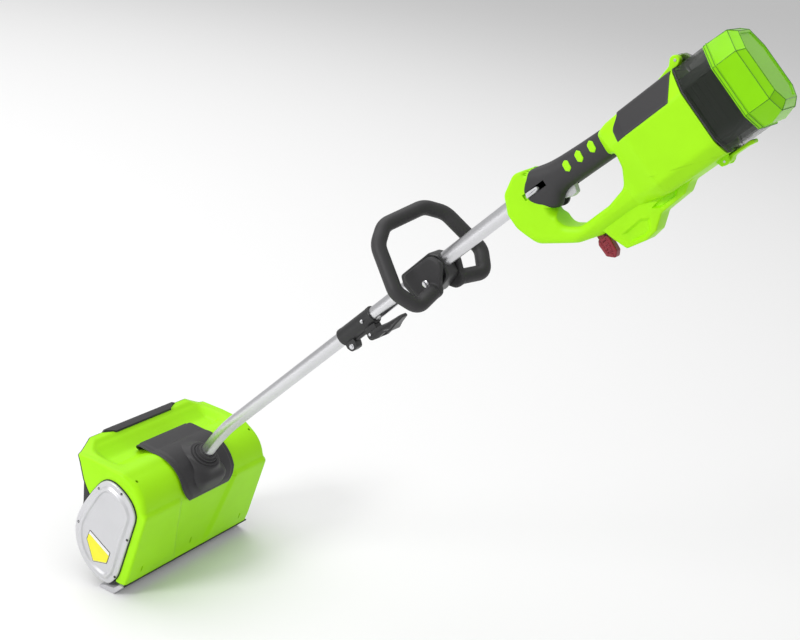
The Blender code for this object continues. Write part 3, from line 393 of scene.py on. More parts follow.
ALONG_POLE = dict(stretch=(1, 1, 0.02), turn=math.radians(-41))
MATERIALS = {"green_plastic": surface("green_plastic_look", (0.37, 0.84, 0.004), 0.42, 900, 0.25,
    edge_highlight=0.06, mottle=0.03, specular=0.2), "dark_plastic": surface("dark_plastic_look",
    (0.030, 0.029, 0.031), 0.48, 1300, 0.55, edge_highlight=0.12, specular=0.4),
    "grip_rubber": surface("grip_rubber_look", (0.030, 0.029, 0.031), 0.55, 1500, 0.6, edge_highlight=0.10,
    specular=0.4), "black_plastic": surface("black_plastic_look", (0.016, 0.016, 0.017), 0.38,
    1000, 0.35, edge_highlight=0.15), "silver_cover": surface("silver_paint_look", (0.60, 0.60, 0.62), 0.36,
    1800, 0.25, metallic=0.35, mottle=0.03, edge_highlight=0.15),
    "light_grey_plastic": surface("light_grey_look", (0.50, 0.50, 0.52), 0.42, 900, 0.3, edge_highlight=0.1),
    "aluminium": surface("drawn_aluminium_look", (0.66, 0.66, 0.68), 0.30, 1600, 0.35, metallic=1,
    mottle=0.04, **ALONG_POLE), "steel": surface("turned_steel_look", (0.60, 0.60, 0.62), 0.24,
    1200, 0.3, metallic=1, stretch=(0.05, 1, 1)), "dark_steel": surface("dark_steel_look",
    (0.05, 0.05, 0.055), 0.35, 1200, 0.3, metallic=0.8), "belt_rubber": surface("belt_rubber_look",
    (0.014, 0.014, 0.015), 0.7, 1400, 0.6), "red_plastic": surface("red_plastic_look",
    (0.25, 0.012, 0.025), 0.34, 900, 0.25, edge_highlight=0.15), "smoked_clear": surface("smoked_clear_look",
    (0.012, 0.018, 0.010), 0.12, 300, 0.04, alpha=0.50, spread=0.03, specular=0.6),
    "green_clear": surface("green_clear_look", (0.30, 0.80, 0.004), 0.10, 300, 0.04, alpha=0.84,
    # Next, a darker copy of the cap's green: painted shade for the lines on the cap's facet edges.
    spread=0.03, specular=0.25), "hood_edge": surface("painted_edge_shade_look", (0.06, 0.22, 0.001), 0.2,
    300, 0.04, spread=0.03), "board_green": surface("board_look", (0.02, 0.12, 0.05), 0.45, 400,
    0.5), "label_yellow": surface("label_yellow_look", (0.85, 0.80, 0.02), 0.35, 1200, 0.1),
    "label_white": surface("label_white_look", (0.80, 0.80, 0.80), 0.35, 1200, 0.1), }


def dress_cad_nodes():
    """Give every piece of the model the look of its record slot."""
    for part in frame["record"]["subparts"]:
        obj = frame["nodes"][part["node"]]
        obj.data.materials.clear()
        obj.data.materials.append(MATERIALS[part["material_slot"]])


# ------------------------------------------------------------------ head

def profile_rows():
    """Rows of the shell from its rear lower edge over the barrel to the lip: (y, z, kind, share)."""
    rows = []
    for z in np.concatenate([np.linspace(20, 140, 31), np.linspace(143, 147, 3)]):
        rows.append((-33 - 26 * (z - 20) / 127, z, "wall", 0))
    for angle in np.linspace(179, 93, 44):
        a = math.radians(angle)
        rows.append((BARREL[0] + BARREL_R * math.cos(a), BARREL[1] + BARREL_R * math.sin(a),
            "barrel", angle))
    for share in np.linspace(0, 1, 56):
        y = 2 + 97 * share
        z = 208 + 1.5 * min(1, (y - 2) / 43) + max(0, y - 45) * 11.5 / 54
        rows.append((y, z, "roof", share))
    return rows


def lip_reach(across):
    """How far forward the lip comes, by distance from the middle."""
    return np.interp(abs(across), [0, 120, 149, 160], [99, 98.6, 88.5, 84.5])


def shell_columns():
    edge = [HALF - 12 * (1 - math.sin(math.radians(a))) for a in range(0, 91, 10)]
    inner = list(np.linspace(-146, 146, 99))
    return [-x for x in reversed(edge)] + inner + edge


def shell_point(row, x):
    y, z, kind, share = row
    ax = abs(x)
    if kind == "wall":
        normal = (-0.98, -0.2)
        inner = np.interp(z, [20, 60, 155], [42, 54, 76])
        rise = SIDE_RISE - MIDDLE_DROP * (1 - step(ax, inner - BLOCK_EDGE, inner))
        rise *= step(z, 18, 40)
        corner = 4
    elif kind == "barrel":
        a = math.radians(share)
        normal = (math.cos(a), math.sin(a))
        inner = 76
        low = SIDE_RISE - MIDDLE_DROP * (1 - step(ax, inner - BLOCK_EDGE, inner))
        lift = float(step(z, 150, 157))
        top = 1 - float(step(-share, -112, -94))
        rise = low * (1 - lift) - 2.4 * lift * top
        corner = np.interp(share, [92, 120, 165, 180], [6, 10, 9, 4])
    else:
        normal = (0, 1)
        reach = lip_reach(x)
        if y > 45:
            y = 45 + (reach - 45) * (y - 45) / 54
            z = 209.5 + (y - 45) * 11.5 / 54
        z -= 9.3 * float(np.clip((ax - 120) / 29, 0, 1)) * max(0, y - 45) / 43.5
        round_top = BARREL[1] + math.sqrt(max(0, BARREL_R ** 2 - (y - BARREL[0]) ** 2))
        floor = 198.5 + 12.5 * float(step(y, 52, 84)) + 4 * float(step(y, 70, 90))
        sunk = max(round_top if y < 60 else 0, floor)
        dish = (1 - step(y, reach - 17, reach - 8)) * (1 - step(ax, 126, 143))
        rise = min(0, sunk - z) * float(dish)
        corner = np.interp(share, [0, 0.4], [6, 3.2])
    reach_in = corner * 1.15
    t = np.clip((ax - (HALF - reach_in)) / reach_in, 0, 1)
    drop = corner * (1 - math.sqrt(max(0, 1 - t * t)))
    out = rise - drop
    return (x, y + normal[0] * out, z + normal[1] * out)


def build_shell():
    rows = profile_rows()
    columns = shell_columns()
    verts = [shell_point(row, x) for row in rows for x in columns]
    wide = len(columns)
    faces = grid(len(rows), wide)
    for column, side in ((0, -1), (wide - 1, 1)):
        rim = [i * wide + column for i in range(len(rows))]
        lower = [(80, 199), (75.5, 185), (70, 171), (62, 158), (54, 148), (46, 128), (38, 112),
            (25, 86), (12, 62), (0, 40), (-8, 29), (-16, 20.5), (-24, 20)]
        start = len(verts)
        verts += [(side * HALF, y, z) for y, z in lower]
        loop = rim + list(range(start, len(verts)))
        inner = len(verts)
        for index in loop:
            _, y, z = verts[index]
            verts.append((side * HALF, -15 + 0.5 * (y + 15), 118 + 0.5 * (z - 118)))
        count = len(loop)
        for k in range(count):
            n = (k + 1) % count
            face = (loop[k], loop[n], inner + n, inner + k)
            faces.append(face if side > 0 else face[::-1])
    shell = piece("shell_body", verts, faces, "green_plastic", "head", replaces=("head_shell",),
        sharp=50, weighted=False)
    made = bmesh.new()
    made.from_mesh(shell.data)
    lean = sum(f.normal.dot(f.calc_center_median() - Vector((0, 0.02, 0.12))) * f.calc_area()
        for f in made.faces)
    if lean < 0:
        bmesh.ops.reverse_faces(made, faces=made.faces)
    made.to_mesh(shell.data)
    made.free()
    solid(shell, 2.2)
    tools = []
    for x in (-129, 0, 129):
        outline = [(x - 1.3, 37), (x, 36), (x + 1.3, 37), (x + 1.3, 46.5), (x, 47.5),
            (x - 1.3, 46.5)]
        rings = [[(a, y, b) for a, b in outline] for y in (-60, -20)]
        tools.append((*through(rings), HEAD))
    for x in (-146, 146):
        hole = [[(x + 2.5 * math.cos(t), -25 + 2.5 * math.sin(t), z) for t in turns(20)]
            for z in (170, 220)]
        tools.append((*through(hole), HEAD))
    cut(shell, tools)
    crisp(shell.data, 42)
    for x, name in ((-146, "left"), (146, "right")):
        head_profile = [(0.3, 194), (2.3, 194), (2.3, 195.6), (1.9, 196.2), (0.9, 196.3),
            (0.5, 195.2), (0.3, 195.2)]
        rings = [[(x + r * math.cos(t), -25 + r * math.sin(t), z) for t in turns(20)]
            for r, z in head_profile]
        piece("shell_screw_" + name, *through(rings), "dark_steel", "head", "steel")


def edge_bead(name, path, radius):
    piece(name, *sweep(path, radius, 12, side=UP), "belt_rubber", "head")


def build_lip():
    section = [(87.6, 218.4, 0.800), (88.4, 221.2, 0.806), (90, 221.9, 0.83), (98.6, 223.7, 0.985),
        (101, 223.6, 0.995), (102, 222, 1), (101.6, 214.6, 1), (100.4, 213.6, 0.998),
        (99.2, 214.6, 0.995), (98.4, 219, 0.985)]
    rings = []
    for x in np.linspace(-92, 92, 33):
        end = 1 - 0.45 * float(step(abs(x), 91, 92.1))
        middle = np.mean([s[:2] for s in section], axis=0)
        rings.append([(x * s, middle[0] + (y - middle[0]) * end, middle[1] + (z - middle[1]) * end)
            for y, z, s in section])
    piece("lip_trim_strip", *through(rings), "dark_plastic", "head", "black_plastic",
        replaces=("lip_trim",), sharp=30)
    rows = profile_rows()
    for side, name in ((-1, "left"), (1, "right")):
        path = [shell_point(rows[-1], side * x) for x in np.linspace(90, 159, 30)]
        path = [(x, y + 0.4, z - 1.2) for x, y, z in path]
        path += [(side * 159.4, y, z) for y, z in ((80.4, 198), (75.6, 185), (70.2, 171),
            (62, 158), (55, 149))]
        edge_bead("lip_bead_" + name, resample(path, 60, closed=False), 1.25)
    edge_bead("rear_edge_bead", [(x, -32.6, 19.2) for x in np.linspace(-161, 161, 24)], 1.5)


def cover_outline():
    nose = arc((-2, 89), 77, -92, 15, 24)
    crown = [(62, 134), (46, 161), (33, 180), (21, 190), (4, 190), (-18, 180), (-34, 167),
        (-44, 148)]
    return relax(resample(nose + crown + [(-19, 32)], 180), 14)


def shrink(outline, distance):
    """Inset an outline near its edge, then draw it together without crossing."""
    near = inset(outline, min(distance, 8))
    if distance <= 8:
        return near
    middle = near.mean(axis=0)
    away = near - middle
    reach = np.linalg.norm(away, axis=1)
    return middle + away * (1 - (distance - 8) / reach)[:, None]


def build_side_plates():
    """The dark plates inside the two ends, kept clear of the shell's rounded corners."""
    for side, name in ((-1, "left"), (1, "right")):
        roof = arc(BARREL, BARREL_R - 13, 180, 92, 16)
        line = [(-25, 26)] + roof + [(44, 197), (78, 199), (80.5, 190), (73, 168), (70, 129)]
        line += arc((-2, 89), 77, 15, -86, 30)
        outline = relax(resample(line, 240), 4)
        ends = sorted((side * 152.5, side * 155.9))
        plate_piece = piece(name + "_inner_plate", *plate(outline, *ends, 0.6), "dark_plastic",
            "head", replaces=(name + "_side_plate",), sharp=35)
        seat = turned([(14.3, side * 140), (14.3, side * 170)], "x", ROTOR)
        tools = [(*seat, HEAD)]
        if side < 0:
            tools.append((*turned([(12, -170), (12, -140)], "x", (0, 166)), HEAD))
        cut(plate_piece, tools)
        crisp(plate_piece.data, 35)


def build_end_cover():
    outline = cover_outline()
    stations = [(0.2, -161.5), (0, -163.4), (0.5, -164.6), (1.6, -165.2), (2.6, -165.3),
        (7, -165.5), (8.2, -165.8), (10, -167.5), (11.4, -168.8), (12.8, -169.3), (15.5, -169.3),
        (16.6, -168.9), (17.6, -167.4), (18.6, -166.7), (20, -166.5), (40, -166.5)]
    rings = [[(x, a, b) for a, b in shrink(outline, d)] for d, x in stations]
    piece("end_cover", *through(rings), "silver_cover", "head", replaces=("belt_cover",), sharp=60)
    rim = [(-1.3, -160.3), (-1.5, -160.8), (-1.3, -161.3), (5.5, -161.3), (5.5, -160.3)]
    rings = [[(x, a, b) for a, b in inset(outline, d)] for d, x in rim]
    piece("cover_gasket", *through(rings, loop=True), "belt_rubber", "head",
        replaces=("cover_seal",))
    for number, (y, z) in enumerate(((33, 170.5), (-13, 178.5), (68, 97.5), (-32.6, 105),
            (-15.5, 31.5)), 1):
        profile = [(0.2, -164.4), (2, -164.4), (2.2, -165.3), (2, -165.9), (1.5, -166),
            (0.8, -165.4), (0.2, -165.3)]
        piece("cover_screw_%d" % number, *turned(profile, "x", (y, z), 20), "dark_steel", "head",
            "silver_cover")
    stations = [(1, 160.3), (1, 163), (1.8, 164.6), (3.2, 165.4), (12, 165.5), (14, 164.6),
        (15.5, 163.9), (17, 163.8)]
    rings = [[(x, a, b) for a, b in shrink(outline, d)] for d, x in stations]
    piece("right_cover", *through(rings), "dark_plastic", "head", replaces=("right_end_cover",),
        sharp=60)


def build_label():
    """A blank five-sided sticker on the end cover: dark border, white face, yellow field."""
    border = [(42.5, 93.9), (-3.3, 70.2), (1.8, 48.6), (30.3, 41.4), (47.4, 75.6)]
    field = [(43.2, 87), (-1.4, 64), (2.6, 50), (29.6, 43.2), (46, 75.8)]
    border, field = (resample(fillet([(y, z, 1.5) for y, z in corners], 3), 90)
        for corners in (border, field))
    for name, shape, mat, low, high in (("border", border, "black_plastic", -166.9, -166.3),
            ("face", inset(border, 1.1), "label_white", -167.1, -166.7),
            ("field", field, "label_yellow", -167.3, -166.9)):
        piece("sticker_" + name, *plate(shape, low, high, 0.1), mat, "head", "silver_cover")


def build_saddle():
    rows, columns = 64, 73
    path = [(49.5, 199), (49.3, 205), (48, 209.5), (45, 212.2), (40, 213.2),
        (30, 212.9)] + arc(BARREL, 65.2, 82, 180, 40) + [(-62.4, 144)]
    path = resample(path, rows, closed=False)
    reach = resample([(0, 60), (6, 67.5), (60, 68), (128, 67.5), (140, 62), (152, 51.5)], 200,
        closed=False)
    length = float(np.sum(np.linalg.norm(np.diff(path, axis=0), axis=1)))
    verts = []
    for i, (y, z) in enumerate(path):
        along = path[min(rows - 1, i + 1)] - path[max(0, i - 1)]
        along /= np.linalg.norm(along)
        normal = (along[1], -along[0])
        if normal[0] * (y - BARREL[0]) + normal[1] * (z - BARREL[1]) < 0:
            normal = (-normal[0], -normal[1])
        travelled = length * i / (rows - 1)
        half = float(np.interp(travelled * 152 / length, reach[:, 0], reach[:, 1]))
        for k in range(columns):
            t = -1 + 2 * k / (columns - 1)
            u = math.sin(t * math.pi / 2) * 0.35 + t * 0.65
            x = u * half
            side = (1 - abs(u)) * half
            edge = min(side, travelled + 0.6, (length - travelled) + 0.6)
            rise = 1.8 * math.sqrt(max(0, 1 - (1 - min(1, edge / 1.8)) ** 2)) - 3.2
            rise += 1.4 * float(step(min(side, length - travelled + 3), 8.5, 11.5))
            verts.append((x, y + normal[0] * rise, z + normal[1] * rise))
    faces = grid(rows, columns)
    saddle = piece("saddle_cover", verts, faces, "dark_plastic", "head", sharp=60, weighted=False,
        replaces=("motor_cover",))
    top = saddle.data.polygons[len(faces) // 2]
    if top.normal.z < 0:
        saddle.data.flip_normals()
    solid(saddle, 2.6)
    crisp(saddle.data, 60)
    stations = [(-40, 42.5, 5, 12), (-26, 41.5, 5, 12), (-20, 40.2, 4.6, 11),
        (-16.8, 37.8, 4.2, 9.5), (-14.6, 34.2, 3.6, 8), (-12, 31.4, 3, 6), (-8.5, 29.4, 2.6, 3.5),
        (-4.5, 28.2, 2.3, 1), (-2.6, 27.4, 2.1, 0), (-1.8, 26.4, 2, 0), (-1.6, 25, 2, 0),
        (-1.6, 17, 2, 0)]
    rings = []
    for height, half, power, ahead in stations:
        a, b = superellipse(half, half + ahead, -half, power, 72)
        rings.append(list(zip(a, b, [height] * 72)))
    piece("saddle_mound", *through(rings), "dark_plastic", "head", place=STUB, sharp=60)
    profile = [(11.2, -15), (23.8, -15), (23.8, -1), (23.4, 0.4), (22.2, 1), (20.6, 1),
        (19.8, 0.2), (19.2, 0.6), (19.2, 3), (18.6, 4.2), (17.4, 4.6), (16, 4.4), (15.4, 5.2),
        (15.2, 7.6), (14.4, 9), (13.2, 9.5), (11.2, 9.2)]
    piece("boot_collar", *through([[(r * math.cos(t), r * math.sin(t), h) for t in turns(48)]
        for r, h in profile], loop=True), "grip_rubber", "head", place=STUB,
        replaces=("pipe_boot",))


def paddle_rings(start):
    rings = []
    for across in np.linspace(-1, 1, 49):
        lag = 26 * (1 - abs(across))
        front, back = [], []
        for share in np.linspace(0, 1, 12):
            radius = 13.3 + 38.7 * share
            angle = math.radians(start + lag + 16 * share * share)
            thick = 1.8 * (1 if share < 0.96 else 0.55)
            half = thick / radius
            front.append((across * 148, radius * math.cos(angle + half) + ROTOR[0],
                radius * math.sin(angle + half) + ROTOR[1]))
            back.append((across * 148, radius * math.cos(angle - half) + ROTOR[0],
                radius * math.sin(angle - half) + ROTOR[1]))
        rings.append(front + back[::-1])
    return rings


def build_rotor():
    for blade in range(4):
        piece("paddle_%d" % (blade + 1), *through(paddle_rings(90 * blade)), "grip_rubber",
            "rotor", replaces=("rotor_paddle_%d" % (blade + 1),), sharp=50)
    profile = [(6.3, -148), (12, -148), (13, -147), (13, -60), (14.6, -58), (14.6, 58), (13, 60),
        (13, 147), (12, 148), (6.3, 148)]
    rings = [[(h, ROTOR[0] + r * math.cos(t), ROTOR[1] + r * math.sin(t)) for t in turns(40)]
        for r, h in profile]
    piece("rotor_core", *through(rings, loop=True), "black_plastic", "rotor",
        replaces=("rotor_hub",))


def build_wear_bar():
    section = fillet([(-32.8, 18.6, 0.6), (-15.4, 0, 2), (15, 0, 1), (15, 4, 1), (3, 8, 3),
        (-14, 10, 3), (-24, 18.6, 0.6)], 4)
    piece("wear_bar", *plate(resample(section, 90), -164, 164, 0.9), "light_grey_plastic", "head",
        replaces=("scraper_bar",), sharp=35)


# ------------------------------------------------------------------ pole

def build_pipes():
    lean = math.radians(13)
    along = np.array([math.sin(lean), math.cos(lean)])
    exit_point = np.array([-13, 128])
    corner_p = 128 + 13 / math.tan(lean)
    radius = 38 / math.tan(lean / 2)
    path = [tuple(exit_point - along * d) for d in (44, 30, 15, 0)]
    bend = arc((-radius, corner_p + 38), radius, -13, 0, 16)
    path = [p for p in path if p[1] < bend[0][1] - 2] + bend
    path += [(0, p) for p in np.linspace(corner_p + 48, 518, 12)]
    piece("lower_tube", *sweep([(0, n, p) for n, p in path], TUBE_R, 48), "aluminium", "head",
        place=POLE, replaces=("lower_pipe",), sharp=50)
    straight = [(0, 0, p) for p in np.linspace(519, 893, 24)]
    piece("upper_tube", *sweep(straight, TUBE_R, 48), "aluminium", "upper_pole",
        replaces=("upper_pipe",), sharp=50)


def build_coupler():
    sleeve = turned([(11.2, 486), (13.4, 486), (14.2, 486.8), (14.3, 488.4), (14.3, 492),
        (13.8, 493), (13.8, 549), (14.3, 550), (14.3, 555.2), (13.6, 556.6), (12.4, 557),
        (11.2, 557)], segments=56)
    low = plate(resample(fillet([(-10, 488, 0), (-10, 506, 0), (-18, 506.5, 3), (-26.5, 503, 5),
        (-26.5, 491, 5), (-18, 487, 3)]), 80), -8, 8, 1)
    high = plate(resample(fillet([(-10, 530, 0), (-10, 553, 0), (-20, 552, 4), (-29.5, 547, 6),
        (-29.5, 535, 6), (-20, 530, 4)]), 80), -8, 8, 1)
    rib = plate(resample(fillet([(-9, 500, 0), (-9, 540, 0), (-17, 536, 3), (-17, 504, 3)]), 60),
        -4.2, 4.2, 0.8)
    piece("coupler_sleeve", *merge(sleeve, low, high, rib), "black_plastic", "upper_pole",
        replaces=("coupler_body",), sharp=35)
    bolt = [(0.3, -11.6), (2.2, -11.6), (2.4, -10.6), (3.6, -10.4), (4.3, -9.6), (4.3, -8.2),
        (2.3, -8.2), (2.3, 8.2), (4.1, 8.2), (4.1, 11.4), (0.3, 11.4)]
    piece("clamp_bolt", *turned(bolt, "x", (-20, 497), 36), "steel", "upper_pole",
        replaces=("coupler_bolt",), sharp=30)
    button = [(0.3, -17.6), (1.4, -17.4), (2.6, -16.4), (3.3, -14.8), (3.4, -9.4), (0.3, -9.4)]
    piece("button_dome", *turned(button, "x", (0, 540), 32), "steel", "spring_button",
        replaces=("coupler_button",), sharp=50)
    outline = fillet([(-19.5, 533.6, 4), (-20.6, 561, 4), (-24, 575, 12), (-25.4, 599, 2),
        (-30.4, 600.6, 2), (-33.6, 584, 10), (-37.2, 572, 5), (-33, 562, 6), (-34.6, 549, 5),
        (-31, 533.6, 6)])
    verts, faces = plate(resample(outline, 120), -17, 17, 1.6, detail=((2, 0), (3.2, 1.2)))
    shaped = []
    for x, n, p in verts:
        wide = 1 - 0.55 * float(step(p, 560, 600)) - 0.12 * float(step(-p, -545, -535))
        shaped.append((x * wide, n, p))
    lever = piece("clamp_lever_arm", shaped, faces, "black_plastic", "clamp_lever",
        replaces=("coupler_lever",), sharp=35)
    slot = [[(x, n, p) for x, n in ((-8.5, -60), (8.5, -60), (8.5, 10), (-8.5, 10))]
        for p in (500, 560)]
    cut(lever, [(*through(slot), POLE)])
    crisp(lever.data, 35)


YAW = math.radians(21)


def build_bail():
    outline = fillet([(18.5, 640, 5), (19.4, 700, 7), (8, 712, 8), (-26, 707, 10), (-33, 676, 14),
        (-25, 640, 12), (4, 634, 6)])
    block = plate(resample(outline, 120), -15.6, 15.6, 2.6, detail=((2.5, 0), (3.6, 0.9)))
    piece("loop_clamp_block", *block, "black_plastic", "bail_slider", replaces=("bail_block",),
        sharp=40)
    corners = [(-30, -31, 0), (-68, -40, 15), (-87, -8, 20), (-68, 64, 30), (-40, 86, 30)]
    full = corners + [(-a, b, r) for a, b, r in reversed(corners)]
    line = resample(fillet(full, 10, closed=False), 150, closed=False)
    path = []
    for across, up in line:
        path.append((across * math.cos(YAW), up, LOOP_P + across * math.sin(YAW)))
    parts = [sweep(path, 11.2, 28, side=UP)]
    for side in (-1, 1):
        middle = LOOP_P + side * 30 * math.sin(YAW)
        ear = fillet([(14, 655 + 8 * side, 8), (14, 706 + 2 * side, 12), (-6, 716 + 2 * side, 12),
            (-30, 700 + 8 * side, 14), (-41.5, middle + 8, 10), (-41.5, middle - 14, 12),
            (-22, middle - 30, 14)])
        ends = sorted((side * 16.4, side * 27.5))
        parts.append(plate(resample(ear, 110), ends[0], ends[1], 3))
        leg = [(side * 21, -27, middle - 2), (side * 30, -30.5, middle + side * 1),
            (side * 40, -33, LOOP_P + side * 43 * math.sin(YAW)),
            (side * 52, -36, LOOP_P + side * 56 * math.sin(YAW))]
        parts.append(sweep(resample(leg, 16, closed=False), 10.6, 24, side=UP))
    loop = piece("loop_handle", *merge(*parts), "grip_rubber", "bail", replaces=("bail_loop",),
        weighted=False)
    melt(loop, 1.15, 8)
    bolt = [(0.3, -31), (3.6, -31), (5.2, -30), (5.6, -28.6), (5.6, -27.6), (3, -27.6), (3, 31),
        (0.3, 31)]
    piece("loop_bolt", *turned(bolt, "x", LOOP_BOLT, 32), "steel", "bail", replaces=("bail_bolt",),
        sharp=40)
    rings = []
    for height, radius, lobes in ((27.8, 8, 0), (28.6, 9, 0), (30.4, 9.2, 0.2), (31.6, 12, 1),
            (33, 12.8, 1.3), (37.6, 12.6, 1.3), (39.2, 11.2, 1), (40, 9, 0.4), (40.2, 4, 0)):
        ring = []
        for i in range(72):
            angle = 2 * math.pi * i / 72
            r = radius + lobes * math.cos(6 * angle) * 0.55 - lobes * 0.5
            ring.append((height, LOOP_BOLT[0] + r * math.cos(angle),
                LOOP_BOLT[1] + r * math.sin(angle)))
        rings.append(ring)
    piece("loop_knob", *through(rings), "black_plastic", "knob", replaces=("bail_knob",), sharp=50)


# ------------------------------------------------------------------ handle

CENTRE = np.array([-54, 960])
# Stations of the soft grip: height, half width, top, bottom and squareness.
GRIP_AT = [878, 880, 884, 890, 897, 903, 911, 920, 930, 945, 975, 1000, 1012, 1018]
GRIP_HALF = [24.7, 24.8, 24.9, 24.9, 24.6, 23.8, 22.5, 21.2, 20.4, 19.7, 19.1, 19.3, 20, 20.4]
GRIP_TOP = [-2, 5, 11, 18, 22.6, 23.2, 21, 18.4, 16.3, 14.4, 11.9, 10.2, 9.6, 9.3]
GRIP_LOW = [-5, -14, -22, -30, -36.5, -40.5, -40.5, -31, -28, -28.4, -29.4, -30.4, -31, -31.2]
GRIP_POWER = [8, 8, 8, 7, 6, 5, 4, 3.2, 2.8, 2.6, 2.5, 2.6, 2.8, 3]
RINGS = [0, 0.15, 0.6, 1.3, 2.3, 3.6, 5.2, 7.2, 9.5, 12]


def handle_outline():
    """Side view of the nose, grip core, housing and lower rail, as (n, p) points."""
    return fillet([(-8, 839, 6), (17, 851, 14), (31.5, 879, 17), (25, 903, 5), (18, 911, 3),
        (14.5, 922, 8), (9.2, 972, 60), (6.6, 1012, 8), (9.8, 1026, 8), (10, HOUSING_END, 0),
        (-114, HOUSING_END, 0), (-113, 1052, 30), (-104, 1004, 40), (-104, 934, 18),
        (-95, 902, 26), (-63, 851, 24), (-30, 839.5, 18)], 8)


def opening_outline():
    return fillet([(-27, 900, 4), (-27, 1019, 6), (-50, 1014, 16), (-72, 998, 16), (-79, 968, 20),
        (-79, 918, 18), (-64, 895, 20)], 8)


def ray_hits(outline, directions):
    """Where rays from the handle's centre meet a closed outline."""
    line = np.array(outline) - CENTRE
    after = np.roll(line, -1, axis=0)
    hits = []
    for d in directions:
        edge = after - line
        cross = d[0] * edge[:, 1] - d[1] * edge[:, 0]
        cross = np.where(np.abs(cross) < 1e-12, 1e-12, cross)
        reach = (line[:, 0] * edge[:, 1] - line[:, 1] * edge[:, 0]) / cross
        share = (line[:, 0] * d[1] - line[:, 1] * d[0]) / cross
        good = (reach > 0) & (share > -1e-6) & (share < 1 + 1e-6)
        hits.append(CENTRE + d * reach[good].max())
    return np.array(hits)


def distance(points, line):
    """Distance from points to an open polyline."""
    best = np.full(points.shape[:-1], 1e9)
    for a, b in zip(line[:-1], line[1:]):
        edge = b - a
        share = np.clip(((points - a) @ edge) / max(edge @ edge, 1e-12), 0, 1)
        away = np.linalg.norm(points - a - share[..., None] * edge, axis=-1)
        best = np.minimum(best, away)
    return best


def soft_min(values, softness):
    values = np.stack(np.broadcast_arrays(*values))
    return -softness * np.log(np.sum(np.exp(-values / softness), axis=0))


def sleeve_station(p):
    """Half width, top, bottom and squareness of the soft grip at a height."""
    return [np.interp(p, GRIP_AT, row) for row in (GRIP_HALF, GRIP_TOP, GRIP_LOW, GRIP_POWER)]


def core_width(n, p):
    """Half thickness of the rigid core under the soft grip."""
    half, top, low, power = sleeve_station(p)
    share = np.abs(n - (top + low) / 2) / (np.abs(top - low) / 2)
    return np.maximum(0.6, half * (1 - np.clip(share, 0, 1) ** power) ** (1 / power) - 2.2)


def half_width(n, p):
    """Half thickness of the handle at a side-view point."""
    octagon = soft_min((46.4 + 0 * n, 46.4 - 20 * (n + 22) / 32, 46.4 - 14 * (-96 - n) / 18), 0.8)
    slim = soft_min((24.2 + 0 * n, 24.2 - 8 * (-90 - n) / 14), 0.7)
    inside = step(p, 889, 904) * (1 - step(p, 1006, 1016)) * step(n, -52, -40)
    slim = slim + (np.minimum(slim, core_width(n, p)) - slim) * inside
    share = np.clip((p - 1002) / 46, 0, 1)
    share = 0.7 * share + 0.3 * smooth(share)
    return slim + (octagon - slim) * share


def rounding(away, reach, drop):
    t = np.clip(1 - away / reach, 0, 1)
    return drop * (1 - np.sqrt(1 - t * t))


def handle_skin():
    """Rings of (half width, n, p) from the outer outline in to the opening."""
    outer = handle_outline()
    ends = [i for i, point in enumerate(outer) if abs(point[1] - HOUSING_END) < 0.01]
    outer = outer[ends[1]:] + outer[:ends[1]]
    rim = resample([outer[-1], outer[0]], 40, closed=False)
    body = resample(outer, 400, closed=False)
    ring = np.concatenate([body[:-1], rim[:-1]])
    hole = opening_outline()
    directions = (ring - CENTRE) / np.linalg.norm(ring - CENTRE, axis=1)[:, None]
    inner = ray_hits(hole, directions)
    span = np.linalg.norm(inner - ring, axis=1)

    def lean(line):
        along = np.roll(line, -1, axis=0) - np.roll(line, 1, axis=0)
        along /= np.linalg.norm(along, axis=1)[:, None]
        normal = np.stack([-along[:, 1], along[:, 0]], axis=1)
        return np.clip(np.abs(np.sum(normal * directions, axis=1)), 0.34, 1)

    outer_lean, inner_lean = lean(ring), lean(inner)
    rows = [np.clip(d / (outer_lean * span), 0, 0.45) for d in RINGS]
    last = [1 - np.clip(d / (inner_lean * span), 0, 0.45) for d in RINGS]
    for share in np.linspace(0, 1, 30)[1:-1]:
        rows.append(rows[len(RINGS) - 1] + (last[-1] - rows[len(RINGS) - 1]) * share)
    rows += last[::-1]
    points = np.stack([ring + (inner - ring) * t[:, None] for t in rows])
    open_line = ring[:len(body)]
    closed_hole = np.array(list(hole) + [hole[0]])
    n, p = points[..., 0], points[..., 1]
    width = half_width(n, p)
    to_edge = distance(points, open_line)
    to_hole = distance(points, closed_hole)
    low = step(-n, 40, 62) * (1 - step(p, 985, 1010))
    collar = step(p, 1008, 1016) * (1 - step(p, 1026, 1046))
    reach = 5 + 5 * low + 4 * collar
    width = width - rounding(to_edge, reach, reach * (0.8 - 0.12 * low))
    corner = step(-n, 55, 68) * (1 - step(p, 925, 960))
    width = width - rounding(to_hole, 5 + 6 * corner, 4.4 + 2 * corner)
    return np.stack([width, n, p], axis=-1)


def box_tool(x, n, p):
    """A box given by its ranges, as a cutting tool in the pole's frame."""
    section = [(x[0], n[0]), (x[1], n[0]), (x[1], n[1]), (x[0], n[1])]
    return (*through([[(a, b, height) for a, b in section] for height in p]), POLE)


